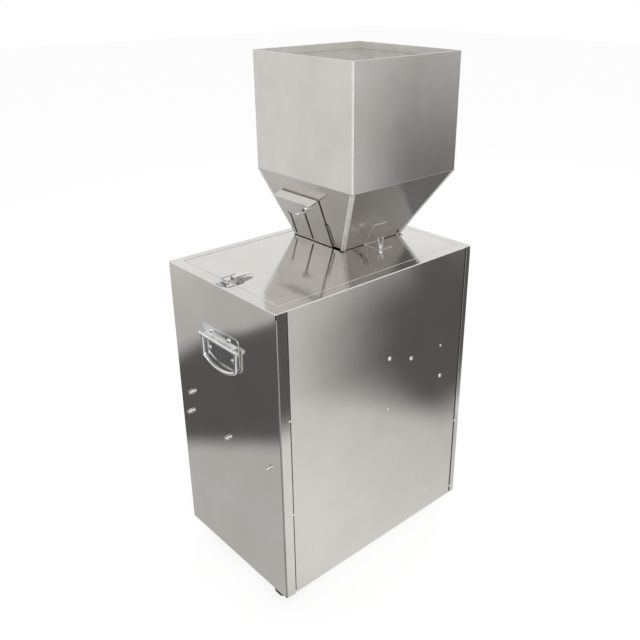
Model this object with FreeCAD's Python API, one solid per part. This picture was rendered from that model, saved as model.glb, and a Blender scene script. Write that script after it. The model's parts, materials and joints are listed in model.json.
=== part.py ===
import FreeCAD, Part
import math
import os

from FreeCAD import Matrix, Vector

# Weighing filling machine for dry goods, in millimetres, +Z up.
# +X is the end with the visible lifting handle, -Y the operator's side with the spout and the
# controls, +Y the plain back. Sizes are written about the middle of the cabinet, with Z from the
# floor, and main() then moves the whole machine so that its footprint is centred on the origin.

# Cabinet
CABINET_LENGTH = 575.0
CABINET_DEPTH = 384.0
CABINET_HEIGHT = 700.0
SKIRT_HEIGHT = 55.0
SHEET = 1.5
BEND_RADIUS = 3.0
POST_RIGHT = 25.0
POST_LEFT = 17.0
POST_LAP = 15.0
PANEL_GAP = 1.8
PANEL_HEM = 14.0
RELIEF_WIDTH = 3.0
RELIEF_DEPTH = 12.0
PAN_SHEET = 2.0
PAN_FLANGE = 25.0
PAN_SLOT_COUNT = 6
PAN_SLOT_PITCH = 26.0
PAN_SLOT_LENGTH = 90.0
PAN_SLOT_WIDTH = 6.0
PAN_SLOT_X = 150.0

# Fits
SEAT_GAP = 0.2
RUNNING_GAP = 0.4
PIN_GAP = 0.06
BOLT_GAP = 0.15

# Lid in the top opening
LID_MARGIN_RIGHT = 27.0
LID_MARGIN_LEFT = 20.0
LID_MARGIN_BACK = 26.0
LID_MARGIN_FRONT = 20.0
LID_GAP = 1.0
LID_SHEET = 2.0
LEDGE_WIDTH = 10.0
STIFFENER_INSET = 24.0
STIFFENER_DEPTH = 12.0
TONGUE_WIDTH = 50.0
TONGUE_REACH = 12.0
TONGUE_ROOT = 30.0
TONGUE_SPACING = 200.0
OPENING_GAP = 1.5
OPENING_GATE_ROOM = 4.6

# Hopper
HOPPER_SIDE = 326.5
HOPPER_HEIGHT = 264.0
HOPPER_FROM_END = 144.3
HOPPER_Y = -48.8
HOPPER_SHEET = 1.5
HOPPER_CORNER = 3.5
HEM_HEIGHT = 17.0
CONE_HEIGHT = 161.4
THROAT_SHIFT = 14.6
THROAT_Y = -62.5
THROAT_LENGTH = 183.2
THROAT_WIDTH = 171.4
WELD_ROUND = 3.0
COLLAR_DEPTH = 45.0

# Gate on the sloping face towards the handle end, measured up that slope from the lid
GATE_Y = -75.0
GATE_WIDTH = 131.0
GATE_SHEET = 2.0
GATE_TOP = 129.0
GATE_TIP = 46.0
GATE_FLANGE = 20.0
GATE_SLOT_WIDTH = 6.0
GATE_STUD_HEIGHT = 85.0
GATE_STUD_RADIUS = 2.5
GATE_STUD_LENGTH = 16.0
GATE_TRAVEL = 75.0
WINDOW_WIDTH = 114.0
WINDOW_TOP = 6.0
GUIDE_BOTTOM = 10.0
GUIDE_TOP = 64.0
GUIDE_FOOT = 8.0
GUIDE_LIP = 7.0
GUIDE_SHEET = 1.5
WING_HUB_RADIUS = 5.0
WING_HUB_FLARE = 1.0
WING_HUB_HEIGHT = 8.0
WING_SPAN = 28.0
WING_HEIGHT = 18.0
WING_SHEET = 2.4
WING_START = 2.0
WING_ROOT = 2.0
WING_WAIST = 3.0
WING_TIP = 6.0
WING_TIP_RADIUS = 2.5

# Brackets that hold the hopper down on the lid
BRACKET_WIDTH = 43.0
BRACKET_SHEET = 2.0
BRACKET_UPPER = 64.0
BRACKET_BACK_LEG = 52.0
BRACKET_BACK_SHIFT = 5.6
BRACKET_LEFT_LEG = 38.0
SCREW_INSET = 9.0
SCREW_OFFSET = 8.0
SCREW_SPAN = 21.0
SCREW_RADIUS = 3.0
SCREW_HEIGHT = 27.0
SCREW_BELOW = 8.0
WELD_NUT_RADIUS = 6.0
WELD_NUT_HEIGHT = 6.0

# Toggle latch of the lid
LATCH_Y = -2.0
LATCH_SHEET = 1.5
KEEPER_INSET = 3.5
KEEPER_LENGTH = 20.0
KEEPER_WIDTH = 22.0
KEEPER_LIP_INSET = 5.0
KEEPER_LIP = 8.0
KEEPER_LIP_WIDTH = 14.0
LATCH_BASE_LENGTH = 45.0
LATCH_BASE_INSET = 3.0
LATCH_PIN_INSET = 13.5
LATCH_PIN_HEIGHT = 6.0
LATCH_PIN_RADIUS = 1.5
LATCH_EAR_GAP = 16.8
LATCH_EAR_RADIUS = 5.0
LATCH_EAR_CORNER = 4.0
LEVER_WIDTH = 14.0
LEVER_LENGTH = 45.0
LEVER_LIFT = 1.0
LEVER_ROOT = 3.4
LEVER_SKIRT = 3.5
LEVER_SKIRT_RUN = 4.0
LEVER_TIP_LENGTH = 14.0
LEVER_TIP_WIDTH = 6.0
LEVER_TIP_CORNER = 2.0
LEVER_RISE = 5.0
LEVER_KNUCKLE = 1.6
BAIL_ARM = 14.0
BAIL_WIRE = 1.2
BAIL_WIDTH = 26.0
BAIL_BEND = 2.5

# Lifting handle on each end
HANDLE_Y = -2.0
HANDLE_TOP = 597.5
HANDLE_WIDTH = 131.0
HANDLE_HEIGHT = 76.0
HANDLE_CORNER = 9.0
HANDLE_LOW_CORNER = 20.0
HANDLE_BARREL_DROP = 26.0
HANDLE_BARREL_RADIUS = 5.5
HANDLE_BARREL_LENGTH = 114.0
HANDLE_SLOT_LENGTH = 39.0
HANDLE_SLOT_WIDTH = 12.0
HANDLE_SLOT_DROP = 10.5
HANDLE_SLOT_CORNER = 2.5
HANDLE_TOP_RIVETS = 65.0
HANDLE_LOW_RIVETS = 87.0
HANDLE_RIVET_RADIUS = 5.0
HANDLE_RIVET_HEAD = 2.2
HANDLE_RIVET_RISE = 22.0
GRIP_ROD = 4.0
GRIP_DROP = 64.0
GRIP_WIDTH = 119.0
GRIP_SIDE_DROP = 49.0
GRIP_FLAT = 48.0
GRIP_BEND = 12.0
GRIP_BELLY = 100.0
GRIP_PIN_RADIUS = 3.0
GRIP_PIN_DEPTH = 14.0
GRIP_EYE_RADIUS = 5.0
GRIP_EYE_END = 3.0
GRIP_SIDE_GAP = 1.6

# Vibrating feeder under the hopper
FEED_Y = THROAT_Y
TROUGH_FLOOR_DROP = 10.0
TROUGH_WALL = 35.0
TROUGH_SHEET = 1.5
TROUGH_BACK_ROOM = 10.0
TROUGH_SIDE_ROOM = 6.0
TROUGH_TAPER_RUN = 12.0
TROUGH_LIP_REACH = 18.0
TROUGH_LIP_WIDTH = 110.0
VIBRATION_TRAVEL = 0.4
LEAF_ANGLE = 20.0
LEAF_THICKNESS = 3.0
LEAF_WIDTH = 70.0
LEAF_FRONT_RUN = 68.0
LEAF_REAR_RUN = 55.0
CLAMP_LENGTH = 30.0
CLAMP_HEIGHT = 20.0
CLAMP_INSET = 4.0
CLAMP_FLOOR = 4.0
UPPER_CLAMP_HEIGHT = 14.0
FEED_BASE_LENGTH = 180.0
FEED_BASE_SHIFT = 18.6
FEED_BASE_WIDTH = 90.0
FEED_BASE_HEIGHT = 18.0
ISOLATOR_RADIUS = 12.0
ISOLATOR_HEIGHT = 18.0
ISOLATOR_WAIST = 9.6
ISOLATOR_DISC = 4.0
MAGNET_LENGTH = 40.0
MAGNET_WIDTH = 44.0
MAGNET_COIL_HEIGHT = 40.0
MAGNET_COIL_FOOT = 4.0
MAGNET_COIL_CORNER = 6.0
ARMATURE_SIDE = 20.0
MAGNET_AIR_GAP = 3.0
ARMATURE_HEIGHT = 34.0
FEEDER_HEIGHT = 130.0
SHELF_LENGTH = 225.0
SHELF_SHIFT = 2.5
SHELF_FRONT = -112.0
SHELF_SHEET = 4.0
SHELF_BACK_HEIGHT = 167.0
SHELF_HOLE_RADIUS = 30.0
GUSSET_TIP = 15.0
GUSSET_FOOT = 20.0

# Bolts through the sheets: for the shelf as X from its middle and Z from its top, for the rail as Y and
# Z from its top
SHELF_BOLTS = ((88.6, -19.0), (17.0, -44.0), (-89.3, -129.0))
SHELF_SMALL_BOLTS = ((-85.2, -46.0), (88.9, -149.0))
RAIL_BOLTS = ((-141.0, 45.0), (-154.0, -13.0), (-2.5, -13.0), (146.5, -15.0))
BOLT_RADIUS = 3.0
SMALL_BOLT_RADIUS = 2.0
SMALL_HEAD_RADIUS = 3.3
SMALL_HEAD_HEIGHT = 2.2
NUT_CORNERS = 1.9
DOME_RADIUS = 5.5
DOME_HEIGHT = 3.6
CAP_RADIUS = 5.0
CAP_HEIGHT = 8.0
SOCKET_RADIUS = 2.9
SOCKET_DEPTH = 3.5
WASHER_RADIUS = 6.6
WASHER_HEIGHT = 1.0
NUT_HEIGHT = 5.0

# Weighing: rail on the handle end, load cell, arm, bucket and its flap
RAIL_HEIGHT = 32.0
RAIL_TOP = 400.0
RAIL_SHEET = 4.0
RAIL_FRONT = -170.0
RAIL_BACK = 157.0
RAIL_REACH = 40.0
RAIL_EAR_HALF = 12.0
RAIL_EAR_RISE = 57.0
RAIL_EAR_CORNER = 6.0
CELL_Y = 50.0
CELL_WIDTH = 28.0
CELL_HEIGHT = 28.0
CELL_LENGTH = 150.0
ARM_SHIFT = 50.0
CELL_SPACER = 4.0
CELL_HOLE_RADIUS = 8.0
CELL_HOLE_SPACING = 26.0
ARM_SHEET = 4.0
ARM_WIDTH = 40.0
ARM_FOOT_LENGTH = 34.0
ARM_SHELF_DROP = 82.0
ARM_PAD_HEIGHT = 55.0
BUCKET_FROM_END = 217.5
BUCKET_LENGTH = 110.0
BUCKET_WIDTH = 130.0
BUCKET_TOP = 682.0
BUCKET_STRAIGHT = 80.0
BUCKET_BOTTOM = 556.0
BUCKET_SHEET = 1.5
OUTLET_SHIFT = 18.0
OUTLET_LENGTH = 64.0
OUTLET_WIDTH = 92.0
FLAP_SHEET = 2.0
FLAP_MARGIN = 3.0
FLAP_PIN_RADIUS = 2.5
FLAP_PIN_OFFSET = 8.0
FLAP_PIN_DROP = 4.0
FLAP_EAR_SHEET = 3.0
FLAP_EAR_REACH = 16.0
FLAP_EAR_RISE = 14.0
FLAP_EAR_HEEL = 2.0
FLAP_EAR_CORNER = 3.0
FLAP_WEB = 6.0
FLAP_WEB_INSET = 8.0
FLAP_WEB_RISE = 4.0
FLAP_KNUCKLE_RADIUS = 4.5
FLAP_OPEN = 50.0
CRANK_LENGTH = 33.0
CRANK_WIDTH = 10.0
SOLENOID_LENGTH = 26.0
SOLENOID_WIDTH = 30.0
SOLENOID_HEIGHT = 52.0
SOLENOID_Z = 606.0
PLUNGER_RADIUS = 5.0
PLUNGER_BORE_DEPTH = 44.0
PLUNGER_END_GAP = 2.0
PLUNGER_CLEVIS_GAP = 2.5
CLEVIS_LENGTH = 8.0
CLEVIS_WIDTH = 14.0
CLEVIS_HEIGHT = 10.0

# Chute inside and spout outside
CHUTE_LENGTH = 110.0
CHUTE_BACK = 0.0
CHUTE_FRONT = -125.0
CHUTE_TOP = 505.0
CHUTE_BACK_WALL = 25.0
CHUTE_SHEET = 1.5
CHUTE_FLANGE = 12.0
CHUTE_EXIT_TOP = 372.0
CHUTE_EXIT_BOTTOM = 290.0
SPOUT_REACH = 68.0
SPOUT_HOOD_TOP = 384.0
SPOUT_HOOD_FLAT = 24.0
SPOUT_HOOD_SLOPE = 44.0
SPOUT_FLANGE = 12.0
NOZZLE_RADIUS = 31.5
NOZZLE_LENGTH = 42.0
NOZZLE_SHEET = 1.5
FUNNEL_HEIGHT = 45.0
FUNNEL_CORNER = 6.0

# Controls on the operator's side
CONTROL_X = -110.0
CONTROL_Z = 590.0
CONTROL_WIDTH = 240.0
CONTROL_HEIGHT = 150.0
CONTROL_CORNER = 8.0
CONTROL_SHEET = 3.0
CONTROL_MARGIN = 12.0
CONTROL_SCREW_RADIUS = 3.5
CONTROL_SCREW_HEAD = 1.2
DISPLAY_X = -30.0
DISPLAY_Z = 32.0
DISPLAY_WIDTH = 130.0
DISPLAY_HEIGHT = 44.0
DISPLAY_SHEET = 2.0
DISPLAY_INSET = 0.5
BUTTON_XS = (-80.0, -30.0, 20.0)
BUTTON_Z = -34.0
BUTTON_RADIUS = 9.0
BUTTON_HEIGHT = 5.0
BUTTON_EDGE = 1.5
BUTTON_STEM_RADIUS = 3.0
BUTTON_TRAVEL = 1.5
BUTTON_COLLAR = 2.5
BUTTON_COLLAR_HEIGHT = 2.0
KNOB_X = 80.0
KNOB_Z = -34.0
KNOB_RADIUS = 17.0
KNOB_HEIGHT = 16.0
KNOB_TAPER = 2.0
KNOB_SHAFT = 3.0
KNOB_GRIPS = 12
KNOB_GRIP_RADIUS = 2.0
KNOB_GRIP_OFFSET = 0.6
KNOB_SKIRT = 3.0
ROCKER_X = 84.0
ROCKER_Z = 32.0
ROCKER_WIDTH = 14.0
ROCKER_RADIUS = 13.0
ROCKER_FRAME = 3.0
ROCKER_BEZEL = 2.0
ROCKER_WELL = 6.5
ROCKER_WELL_FLOOR = 3.0
ROCKER_EDGE = 12.35
ROCKER_BACK = 10.4
ROCKER_PROUD = 4.0
ROCKER_DISH = 2.5
ROCKER_DEPTH = 5.0
ROCKER_TILT = 10.0
ROCKER_NOSE = 1.0
ROCKER_FACE_ROUND = 6.0
ROCKER_BACK_ROUND = 2.0
SWITCH_SIDE = 12.0
SWITCH_HEIGHT = 3.5
DIAL_BODY_RADIUS = 8.0
DIAL_BODY_HEIGHT = 9.0
DIAL_FLOOR = 2.0
BOARD_DEPTH = 20.0
BOARD_SHEET = 1.6
BOARD_INSET = 22.0
STANDOFF_RADIUS = 4.0

# Power supply and inlet
SUPPLY_X = -100.0
SUPPLY_Y = -60.0
SUPPLY_LENGTH = 160.0
SUPPLY_WIDTH = 98.0
SUPPLY_HEIGHT = 42.0
SUPPLY_SLOTS = 6
SUPPLY_SLOT_PITCH = 22.0
SUPPLY_SLOT_WIDTH = 6.0
SUPPLY_SLOT_DEPTH = 3.0
SUPPLY_SLOT_MARGIN = 15.0
INLET_Y = -120.0
INLET_Z = 135.0
INLET_WIDTH = 50.0
INLET_HEIGHT = 27.0
INLET_FLANGE = 3.0
INLET_CORNER = 5.0
INLET_BODY_WIDTH = 28.0
INLET_BODY_HEIGHT = 21.0
INLET_DEPTH = 20.0
INLET_RECESS_WIDTH = 23.0
INLET_RECESS_HEIGHT = 16.0
INLET_RECESS_DEPTH = 16.0
BLADE_SPACING = 7.0
BLADE_WIDTH = 2.0
BLADE_HEIGHT = 4.0
BLADE_DROP = 4.0
BLADE_INSET = 3.0

# Swivel casters
CASTER_HEIGHT = 68.0
CASTER_INSET = 60.0
CASTER_PLATE = 58.0
CASTER_PLATE_SHEET = 2.5
CASTER_PLATE_CORNER = 6.0
CASTER_TRAIL = 18.0
CASTER_ANGLES = (("back_right", 1, 1, 0.0), ("back_left", -1, 1, -60.0),
                 ("front_right", 1, -1, 150.0), ("front_left", -1, -1, 60.0))
RACE_RADIUS = 16.0
RACE_HEIGHT = 4.0
RACE_FLARE = 3.0
RACE_GAP = 0.3
KING_RADIUS = 5.5
KING_HEAD_RADIUS = 9.0
KING_HEAD_HEIGHT = 2.0
FORK_SHEET = 3.0
FORK_RADIUS = 17.0
FORK_TOP_SHEET = 3.5
FORK_BACK = 11.0
FORK_FRONT = 14.0
FORK_EYE_FRONT = 8.0
FORK_EYE_RISE = 4.0
FORK_EYE_HALF = 6.0
FORK_EYE_DROP = 7.0
FORK_EYE_CORNER = 5.0
FORK_BACK_CORNER = 2.0
AXLE_END = 1.5
WHEEL_RADIUS = 25.0
WHEEL_WIDTH = 20.0
WHEEL_ROUND = 3.0
WHEEL_TREAD = 5.0
WHEEL_CHAMFER = 1.0
WHEEL_DISH = 3.0
HUB_RADIUS = 9.0
HUB_WIDTH = 21.2
FORK_SIDE_GAP = 0.4
AXLE_RADIUS = 3.5

HALF_X = CABINET_LENGTH / 2
HALF_Y = CABINET_DEPTH / 2
TOP_Z = SKIRT_HEIGHT + CABINET_HEIGHT
INNER_X = HALF_X - SHEET
INNER_Y = HALF_Y - SHEET
PAN_BOTTOM = CASTER_HEIGHT
PAN_TOP = PAN_BOTTOM + PAN_SHEET
RIM_LEFT = -HALF_X + LID_MARGIN_LEFT
RIM_RIGHT = HALF_X - LID_MARGIN_RIGHT
RIM_FRONT = -HALF_Y + LID_MARGIN_FRONT
RIM_BACK = HALF_Y - LID_MARGIN_BACK
CONE_TOP = TOP_Z + CONE_HEIGHT
HOPPER_TOP = CONE_TOP + HOPPER_HEIGHT
HOPPER_X = -HALF_X + HOPPER_FROM_END
THROAT_X = HOPPER_X + THROAT_SHIFT
THROAT_LEFT = THROAT_X - THROAT_LENGTH / 2
THROAT_RIGHT = THROAT_X + THROAT_LENGTH / 2
THROAT_FRONT = THROAT_Y - THROAT_WIDTH / 2
THROAT_BACK = THROAT_Y + THROAT_WIDTH / 2
BRACKET_BACK_X = THROAT_X + BRACKET_BACK_SHIFT
BUCKET_LEFT = HALF_X - BUCKET_FROM_END
OUTLET_LEFT = BUCKET_LEFT + OUTLET_SHIFT
CHUTE_LEFT = BUCKET_LEFT
TROUGH_FLOOR = TOP_Z - COLLAR_DEPTH - TROUGH_FLOOR_DROP
TROUGH_TAPER_X = THROAT_RIGHT + TROUGH_TAPER_RUN
TROUGH_LIP_X = BUCKET_LEFT + TROUGH_LIP_REACH
FEED_BASE_X = THROAT_X + FEED_BASE_SHIFT
LEAF_FRONT_X = FEED_BASE_X + LEAF_FRONT_RUN
LEAF_REAR_X = FEED_BASE_X - LEAF_REAR_RUN
SHELF_TOP = TROUGH_FLOOR - FEEDER_HEIGHT
SHELF_BACK_BOTTOM = SHELF_TOP - SHELF_BACK_HEIGHT
SHELF_X = FEED_BASE_X - SHELF_SHIFT
SHELF_LEFT = SHELF_X - SHELF_LENGTH / 2
SHELF_RIGHT = SHELF_X + SHELF_LENGTH / 2
BACK_BOLTS = [(SHELF_X + x, SHELF_TOP + z) for x, z in SHELF_BOLTS]
BACK_SMALL_BOLTS = [(SHELF_X + x, SHELF_TOP + z) for x, z in SHELF_SMALL_BOLTS]
RAIL_BOTTOM = RAIL_TOP - RAIL_HEIGHT
END_BOLTS = [(y, RAIL_TOP + z) for y, z in RAIL_BOLTS]
GATE_SLOPE = math.atan((HOPPER_X + HOPPER_SIDE / 2 - THROAT_RIGHT) / CONE_HEIGHT)
BACK_SLOPE = math.atan((HOPPER_Y + HOPPER_SIDE / 2 - THROAT_BACK) / CONE_HEIGHT)
LEFT_SLOPE = math.atan((THROAT_LEFT - HOPPER_X + HOPPER_SIDE / 2) / CONE_HEIGHT)
LATCH_PIN_X = RIM_RIGHT - LID_GAP - LATCH_BASE_INSET - LATCH_PIN_INSET
LATCH_PIN_Z = TOP_Z + LATCH_PIN_HEIGHT
KEEPER_LIP_X = RIM_RIGHT + KEEPER_INSET + KEEPER_LIP_INSET
HANDLE_PIN_Z = SKIRT_HEIGHT + HANDLE_TOP - HANDLE_BARREL_DROP
HANDLE_PIN_X = HALF_X + SHEET + HANDLE_BARREL_RADIUS
LEAF_GAP = VIBRATION_TRAVEL + RUNNING_GAP
FEED_BASE_BOTTOM = SHELF_TOP + ISOLATOR_HEIGHT
FEED_BASE_TOP = FEED_BASE_BOTTOM + FEED_BASE_HEIGHT
CELL_X = BUCKET_LEFT + ARM_SHIFT
CELL_BOTTOM = RAIL_TOP + CELL_SPACER
CELL_TOP = CELL_BOTTOM + CELL_HEIGHT
ARM_SHELF_Z = BUCKET_TOP - ARM_SHELF_DROP
BUCKET_BACK = FEED_Y + BUCKET_WIDTH / 2
FLAP_PIN_X = OUTLET_LEFT + OUTLET_LENGTH + FLAP_PIN_OFFSET
FLAP_PIN_Z = BUCKET_BOTTOM - FLAP_PIN_DROP
PLUNGER_STROKE = CRANK_LENGTH * math.sin(math.radians(FLAP_OPEN))
SPOUT_X = CHUTE_LEFT + CHUTE_LENGTH / 2
SPOUT_Y = -HALF_Y - SPOUT_REACH / 2
FUNNEL_BOTTOM = CHUTE_EXIT_BOTTOM - FUNNEL_HEIGHT
NOZZLE_BOTTOM = FUNNEL_BOTTOM - NOZZLE_LENGTH
CONTROL_FACE = -HALF_Y - CONTROL_SHEET
BOARD_Y = -INNER_Y + BOARD_DEPTH


def on_plane(plane, u, v, w):
    """The point with coordinates u, v in a plane and w along its normal axis."""
    if plane == "XY":
        return Vector(u, v, w)
    if plane == "XZ":
        return Vector(u, w, v)
    return Vector(w, u, v)


def box(xs, ys, zs):
    """A block between two values on each axis."""
    corner = Vector(min(xs), min(ys), min(zs))
    return Part.makeBox(abs(xs[1] - xs[0]), abs(ys[1] - ys[0]), abs(zs[1] - zs[0]), corner)


def rod(start, end, radius):
    """A round bar between two points."""
    along = end - start
    return Part.makeCylinder(radius, along.Length, start, along)


def rounded_wire(points, radii):
    """A closed outline through the points, with an arc of the given radius at each one."""
    count = len(points)
    arcs = []
    for i in range(count):
        corner = points[i]
        before = (points[i - 1] - corner).normalize()
        after = (points[(i + 1) % count] - corner).normalize()
        if radii[i] <= 0:
            arcs.append((corner, None, corner))
            continue
        half = before.getAngle(after) / 2
        tangent = radii[i] / math.tan(half)
        middle = (before + after).normalize() * (radii[i] / math.sin(half) - radii[i])
        arcs.append((corner + before * tangent, corner + middle, corner + after * tangent))
    edges = []
    for i in range(count):
        start, middle, end = arcs[i]
        if middle is not None:
            edges.append(Part.Arc(start, middle, end).toShape())
        following = arcs[(i + 1) % count][0]
        if end.distanceToPoint(following) > 1e-6:
            edges.append(Part.LineSegment(end, following).toShape())
    return Part.Wire(edges)


def profile(plane, outline, start, end, radii=None):
    """A straight-sided body: the outline in a plane, carried from start to end along its normal."""
    points = [on_plane(plane, u, v, start) for u, v in outline]
    wire = rounded_wire(points, radii or [0] * len(points))
    return Part.Face(wire).extrude(on_plane(plane, 0, 0, end) - on_plane(plane, 0, 0, start))


def offset_path(path, distance):
    """The path moved sideways by a distance, to the left of its direction, with mitred corners."""
    normals = []
    for (u0, v0), (u1, v1) in zip(path, path[1:]):
        length = math.hypot(u1 - u0, v1 - v0)
        normals.append((-(v1 - v0) / length, (u1 - u0) / length))
    moved = []
    for i, (u, v) in enumerate(path):
        first = normals[max(i - 1, 0)]
        second = normals[min(i, len(normals) - 1)]
        scale = distance / (1 + first[0] * second[0] + first[1] * second[1])
        moved.append((u + scale * (first[0] + second[0]), v + scale * (first[1] + second[1])))
    return moved


def folded_sheet(plane, path, thickness, start, end, bends=()):
    """A sheet folded along a path, its material to the left, rounded at the bends listed."""
    outer = [BEND_RADIUS if i in bends else 0 for i in range(len(path))]
    inner = [max(radius - abs(thickness), 0) for radius in outer]
    outline = path + offset_path(path, thickness)[::-1]
    return profile(plane, outline, start, end, outer + inner[::-1])


def frame_between(outer, inner, zs):
    """A flat ring: a block with a rectangular opening; each rectangle is (xs, ys)."""
    return box(outer[0], outer[1], zs).cut(box(inner[0], inner[1], zs))


def frustum(lower, low_z, upper, high_z):
    """A solid with four flat sloping sides between two rectangles given as (xs, ys)."""
    corners = []
    for (xs, ys), z in ((lower, low_z), (upper, high_z)):
        ring = [Vector(x, y, z) for x, y in ((xs[0], ys[0]), (xs[1], ys[0]), (xs[1], ys[1]), (xs[0], ys[1]))]
        corners.append(ring)
    low, high = corners
    quads = [low[::-1], high]
    for i in range(4):
        j = (i + 1) % 4
        quads.append([low[i], low[j], high[j], high[i]])
    faces = [Part.Face(Part.makePolygon(quad + quad[:1])) for quad in quads]
    return Part.Solid(Part.Shell(faces))


def slope_matrix(foot, outward, slope):
    """Places a piece drawn on a sloping face: X level, Y up the slope, Z out of the face."""
    level = Vector(-outward.y, outward.x, 0)
    up = outward * math.sin(slope) + Vector(0, 0, math.cos(slope))
    out = outward * math.cos(slope) - Vector(0, 0, math.sin(slope))
    return Matrix(level.x, up.x, out.x, foot.x,
                  level.y, up.y, out.y, foot.y,
                  level.z, up.z, out.z, foot.z,
                  0, 0, 0, 1)


def bent_rod(points, radius, bends):
    """A round bar bent along points in one plane, with a bend radius for each inner point."""
    edges = []
    start = points[0]
    for before, corner, after, bend in zip(points, points[1:], points[2:], bends):
        back = (before - corner).normalize()
        ahead = (after - corner).normalize()
        half = back.getAngle(ahead) / 2
        tangent = bend / math.tan(half)
        middle = corner + (back + ahead).normalize() * (bend / math.sin(half) - bend)
        edges.append(Part.LineSegment(start, corner + back * tangent).toShape())
        edges.append(Part.Arc(corner + back * tangent, middle, corner + ahead * tangent).toShape())
        start = corner + ahead * tangent
    edges.append(Part.LineSegment(start, points[-1]).toShape())
    along = points[1] - points[0]
    circle = Part.Wire([Part.makeCircle(radius, points[0], along)])
    return Part.Wire(edges).makePipeShell([circle], True, False)


def fused(shapes):
    """One body out of touching or overlapping shapes."""
    first, *rest = shapes
    return first.multiFuse(rest).removeSplitter() if rest else first


def base_pan():
    """Floor tray that closes the cabinet below and carries the casters and the power supply."""
    edge_y = INNER_Y - SHEET
    tray = box((-INNER_X, INNER_X), (-edge_y, edge_y), (PAN_BOTTOM, PAN_TOP + PAN_FLANGE))
    inside = box((-INNER_X + PAN_SHEET, INNER_X - PAN_SHEET),
                 (-edge_y + PAN_SHEET, edge_y - PAN_SHEET),
                 (PAN_TOP, PAN_TOP + PAN_FLANGE))
    slots = []
    for i in range(PAN_SLOT_COUNT):
        y = (i - (PAN_SLOT_COUNT - 1) / 2) * PAN_SLOT_PITCH
        slots.append(box((PAN_SLOT_X - PAN_SLOT_LENGTH / 2, PAN_SLOT_X + PAN_SLOT_LENGTH / 2),
                         (y - PAN_SLOT_WIDTH / 2, y + PAN_SLOT_WIDTH / 2), (PAN_BOTTOM, PAN_TOP)))
    return tray.cut(inside).cut(Part.makeCompound(slots))


def end_sheet(post):
    """End of the cabinet at +X: one sheet folded round both corners, with set-back laps."""
    lap_x = HALF_X - post - POST_LAP
    path = [(lap_x, INNER_Y), (HALF_X - post, INNER_Y), (HALF_X - post, HALF_Y), (HALF_X, HALF_Y),
            (HALF_X, -HALF_Y), (HALF_X - post, -HALF_Y), (HALF_X - post, -INNER_Y), (lap_x, -INNER_Y)]
    sheet = folded_sheet("XY", path, -SHEET, SKIRT_HEIGHT, TOP_Z - SHEET, bends=(3, 4))
    top = (TOP_Z - RELIEF_DEPTH, TOP_Z)
    corner_x = (HALF_X - RELIEF_WIDTH, HALF_X)
    for side in (1, -1):
        corner_y = (side * (HALF_Y - RELIEF_WIDTH), side * HALF_Y)
        sheet = sheet.cut(box(corner_x, corner_y, top))
    return sheet


def right_end_panel():
    """Handle end, drilled for the bolts of the weighing rail."""
    sheet = end_sheet(POST_RIGHT)
    for y, z in END_BOLTS:
        hole = rod(Vector(INNER_X, y, z), Vector(HALF_X, y, z), BOLT_RADIUS + BOLT_GAP)
        sheet = sheet.cut(hole)
    return sheet


def left_end_panel():
    """The other end, with the cut-out of the power inlet."""
    sheet = end_sheet(POST_LEFT).mirror(Vector(0, 0, 0), Vector(1, 0, 0))
    half_y = INLET_BODY_WIDTH / 2 + SEAT_GAP
    half_z = INLET_BODY_HEIGHT / 2 + SEAT_GAP
    return sheet.cut(box((-HALF_X, -INNER_X), (INLET_Y - half_y, INLET_Y + half_y),
                         (INLET_Z - half_z, INLET_Z + half_z)))


def long_panel():
    """Flat sheet between the two posts, on the laps, with its lower edge turned in."""
    left = -HALF_X + POST_LEFT + PANEL_GAP
    right = HALF_X - POST_RIGHT - PANEL_GAP
    hem_left = -HALF_X + POST_LEFT + POST_LAP + PANEL_GAP
    hem_right = HALF_X - POST_RIGHT - POST_LAP - PANEL_GAP
    sheet = box((left, right), (INNER_Y, HALF_Y), (SKIRT_HEIGHT, TOP_Z - SHEET))
    hem = box((hem_left, hem_right), (HALF_Y - PANEL_HEM, HALF_Y), (SKIRT_HEIGHT, SKIRT_HEIGHT + SHEET))
    return fused([sheet, hem])


def back_panel():
    """Plain back sheet with the holes of the feeder's bolts."""
    sheet = long_panel()
    for bolts, radius in ((BACK_BOLTS, BOLT_RADIUS), (BACK_SMALL_BOLTS, SMALL_BOLT_RADIUS)):
        for x, z in bolts:
            sheet = sheet.cut(rod(Vector(x, INNER_Y, z), Vector(x, HALF_Y, z), radius + BOLT_GAP))
    return sheet


def front_panel():
    """Operator's side, cut out behind the controls and where the chute comes through."""
    sheet = long_panel().mirror(Vector(0, 0, 0), Vector(0, 1, 0))
    half_x = CONTROL_WIDTH / 2 - CONTROL_MARGIN
    half_z = CONTROL_HEIGHT / 2 - CONTROL_MARGIN
    controls = box((CONTROL_X - half_x, CONTROL_X + half_x), (-HALF_Y, -INNER_Y),
                   (CONTROL_Z - half_z, CONTROL_Z + half_z))
    chute = box((CHUTE_LEFT, CHUTE_LEFT + CHUTE_LENGTH), (-HALF_Y, -INNER_Y),
                (CHUTE_EXIT_BOTTOM, CHUTE_EXIT_TOP))
    return sheet.cut(controls).cut(chute)


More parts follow.
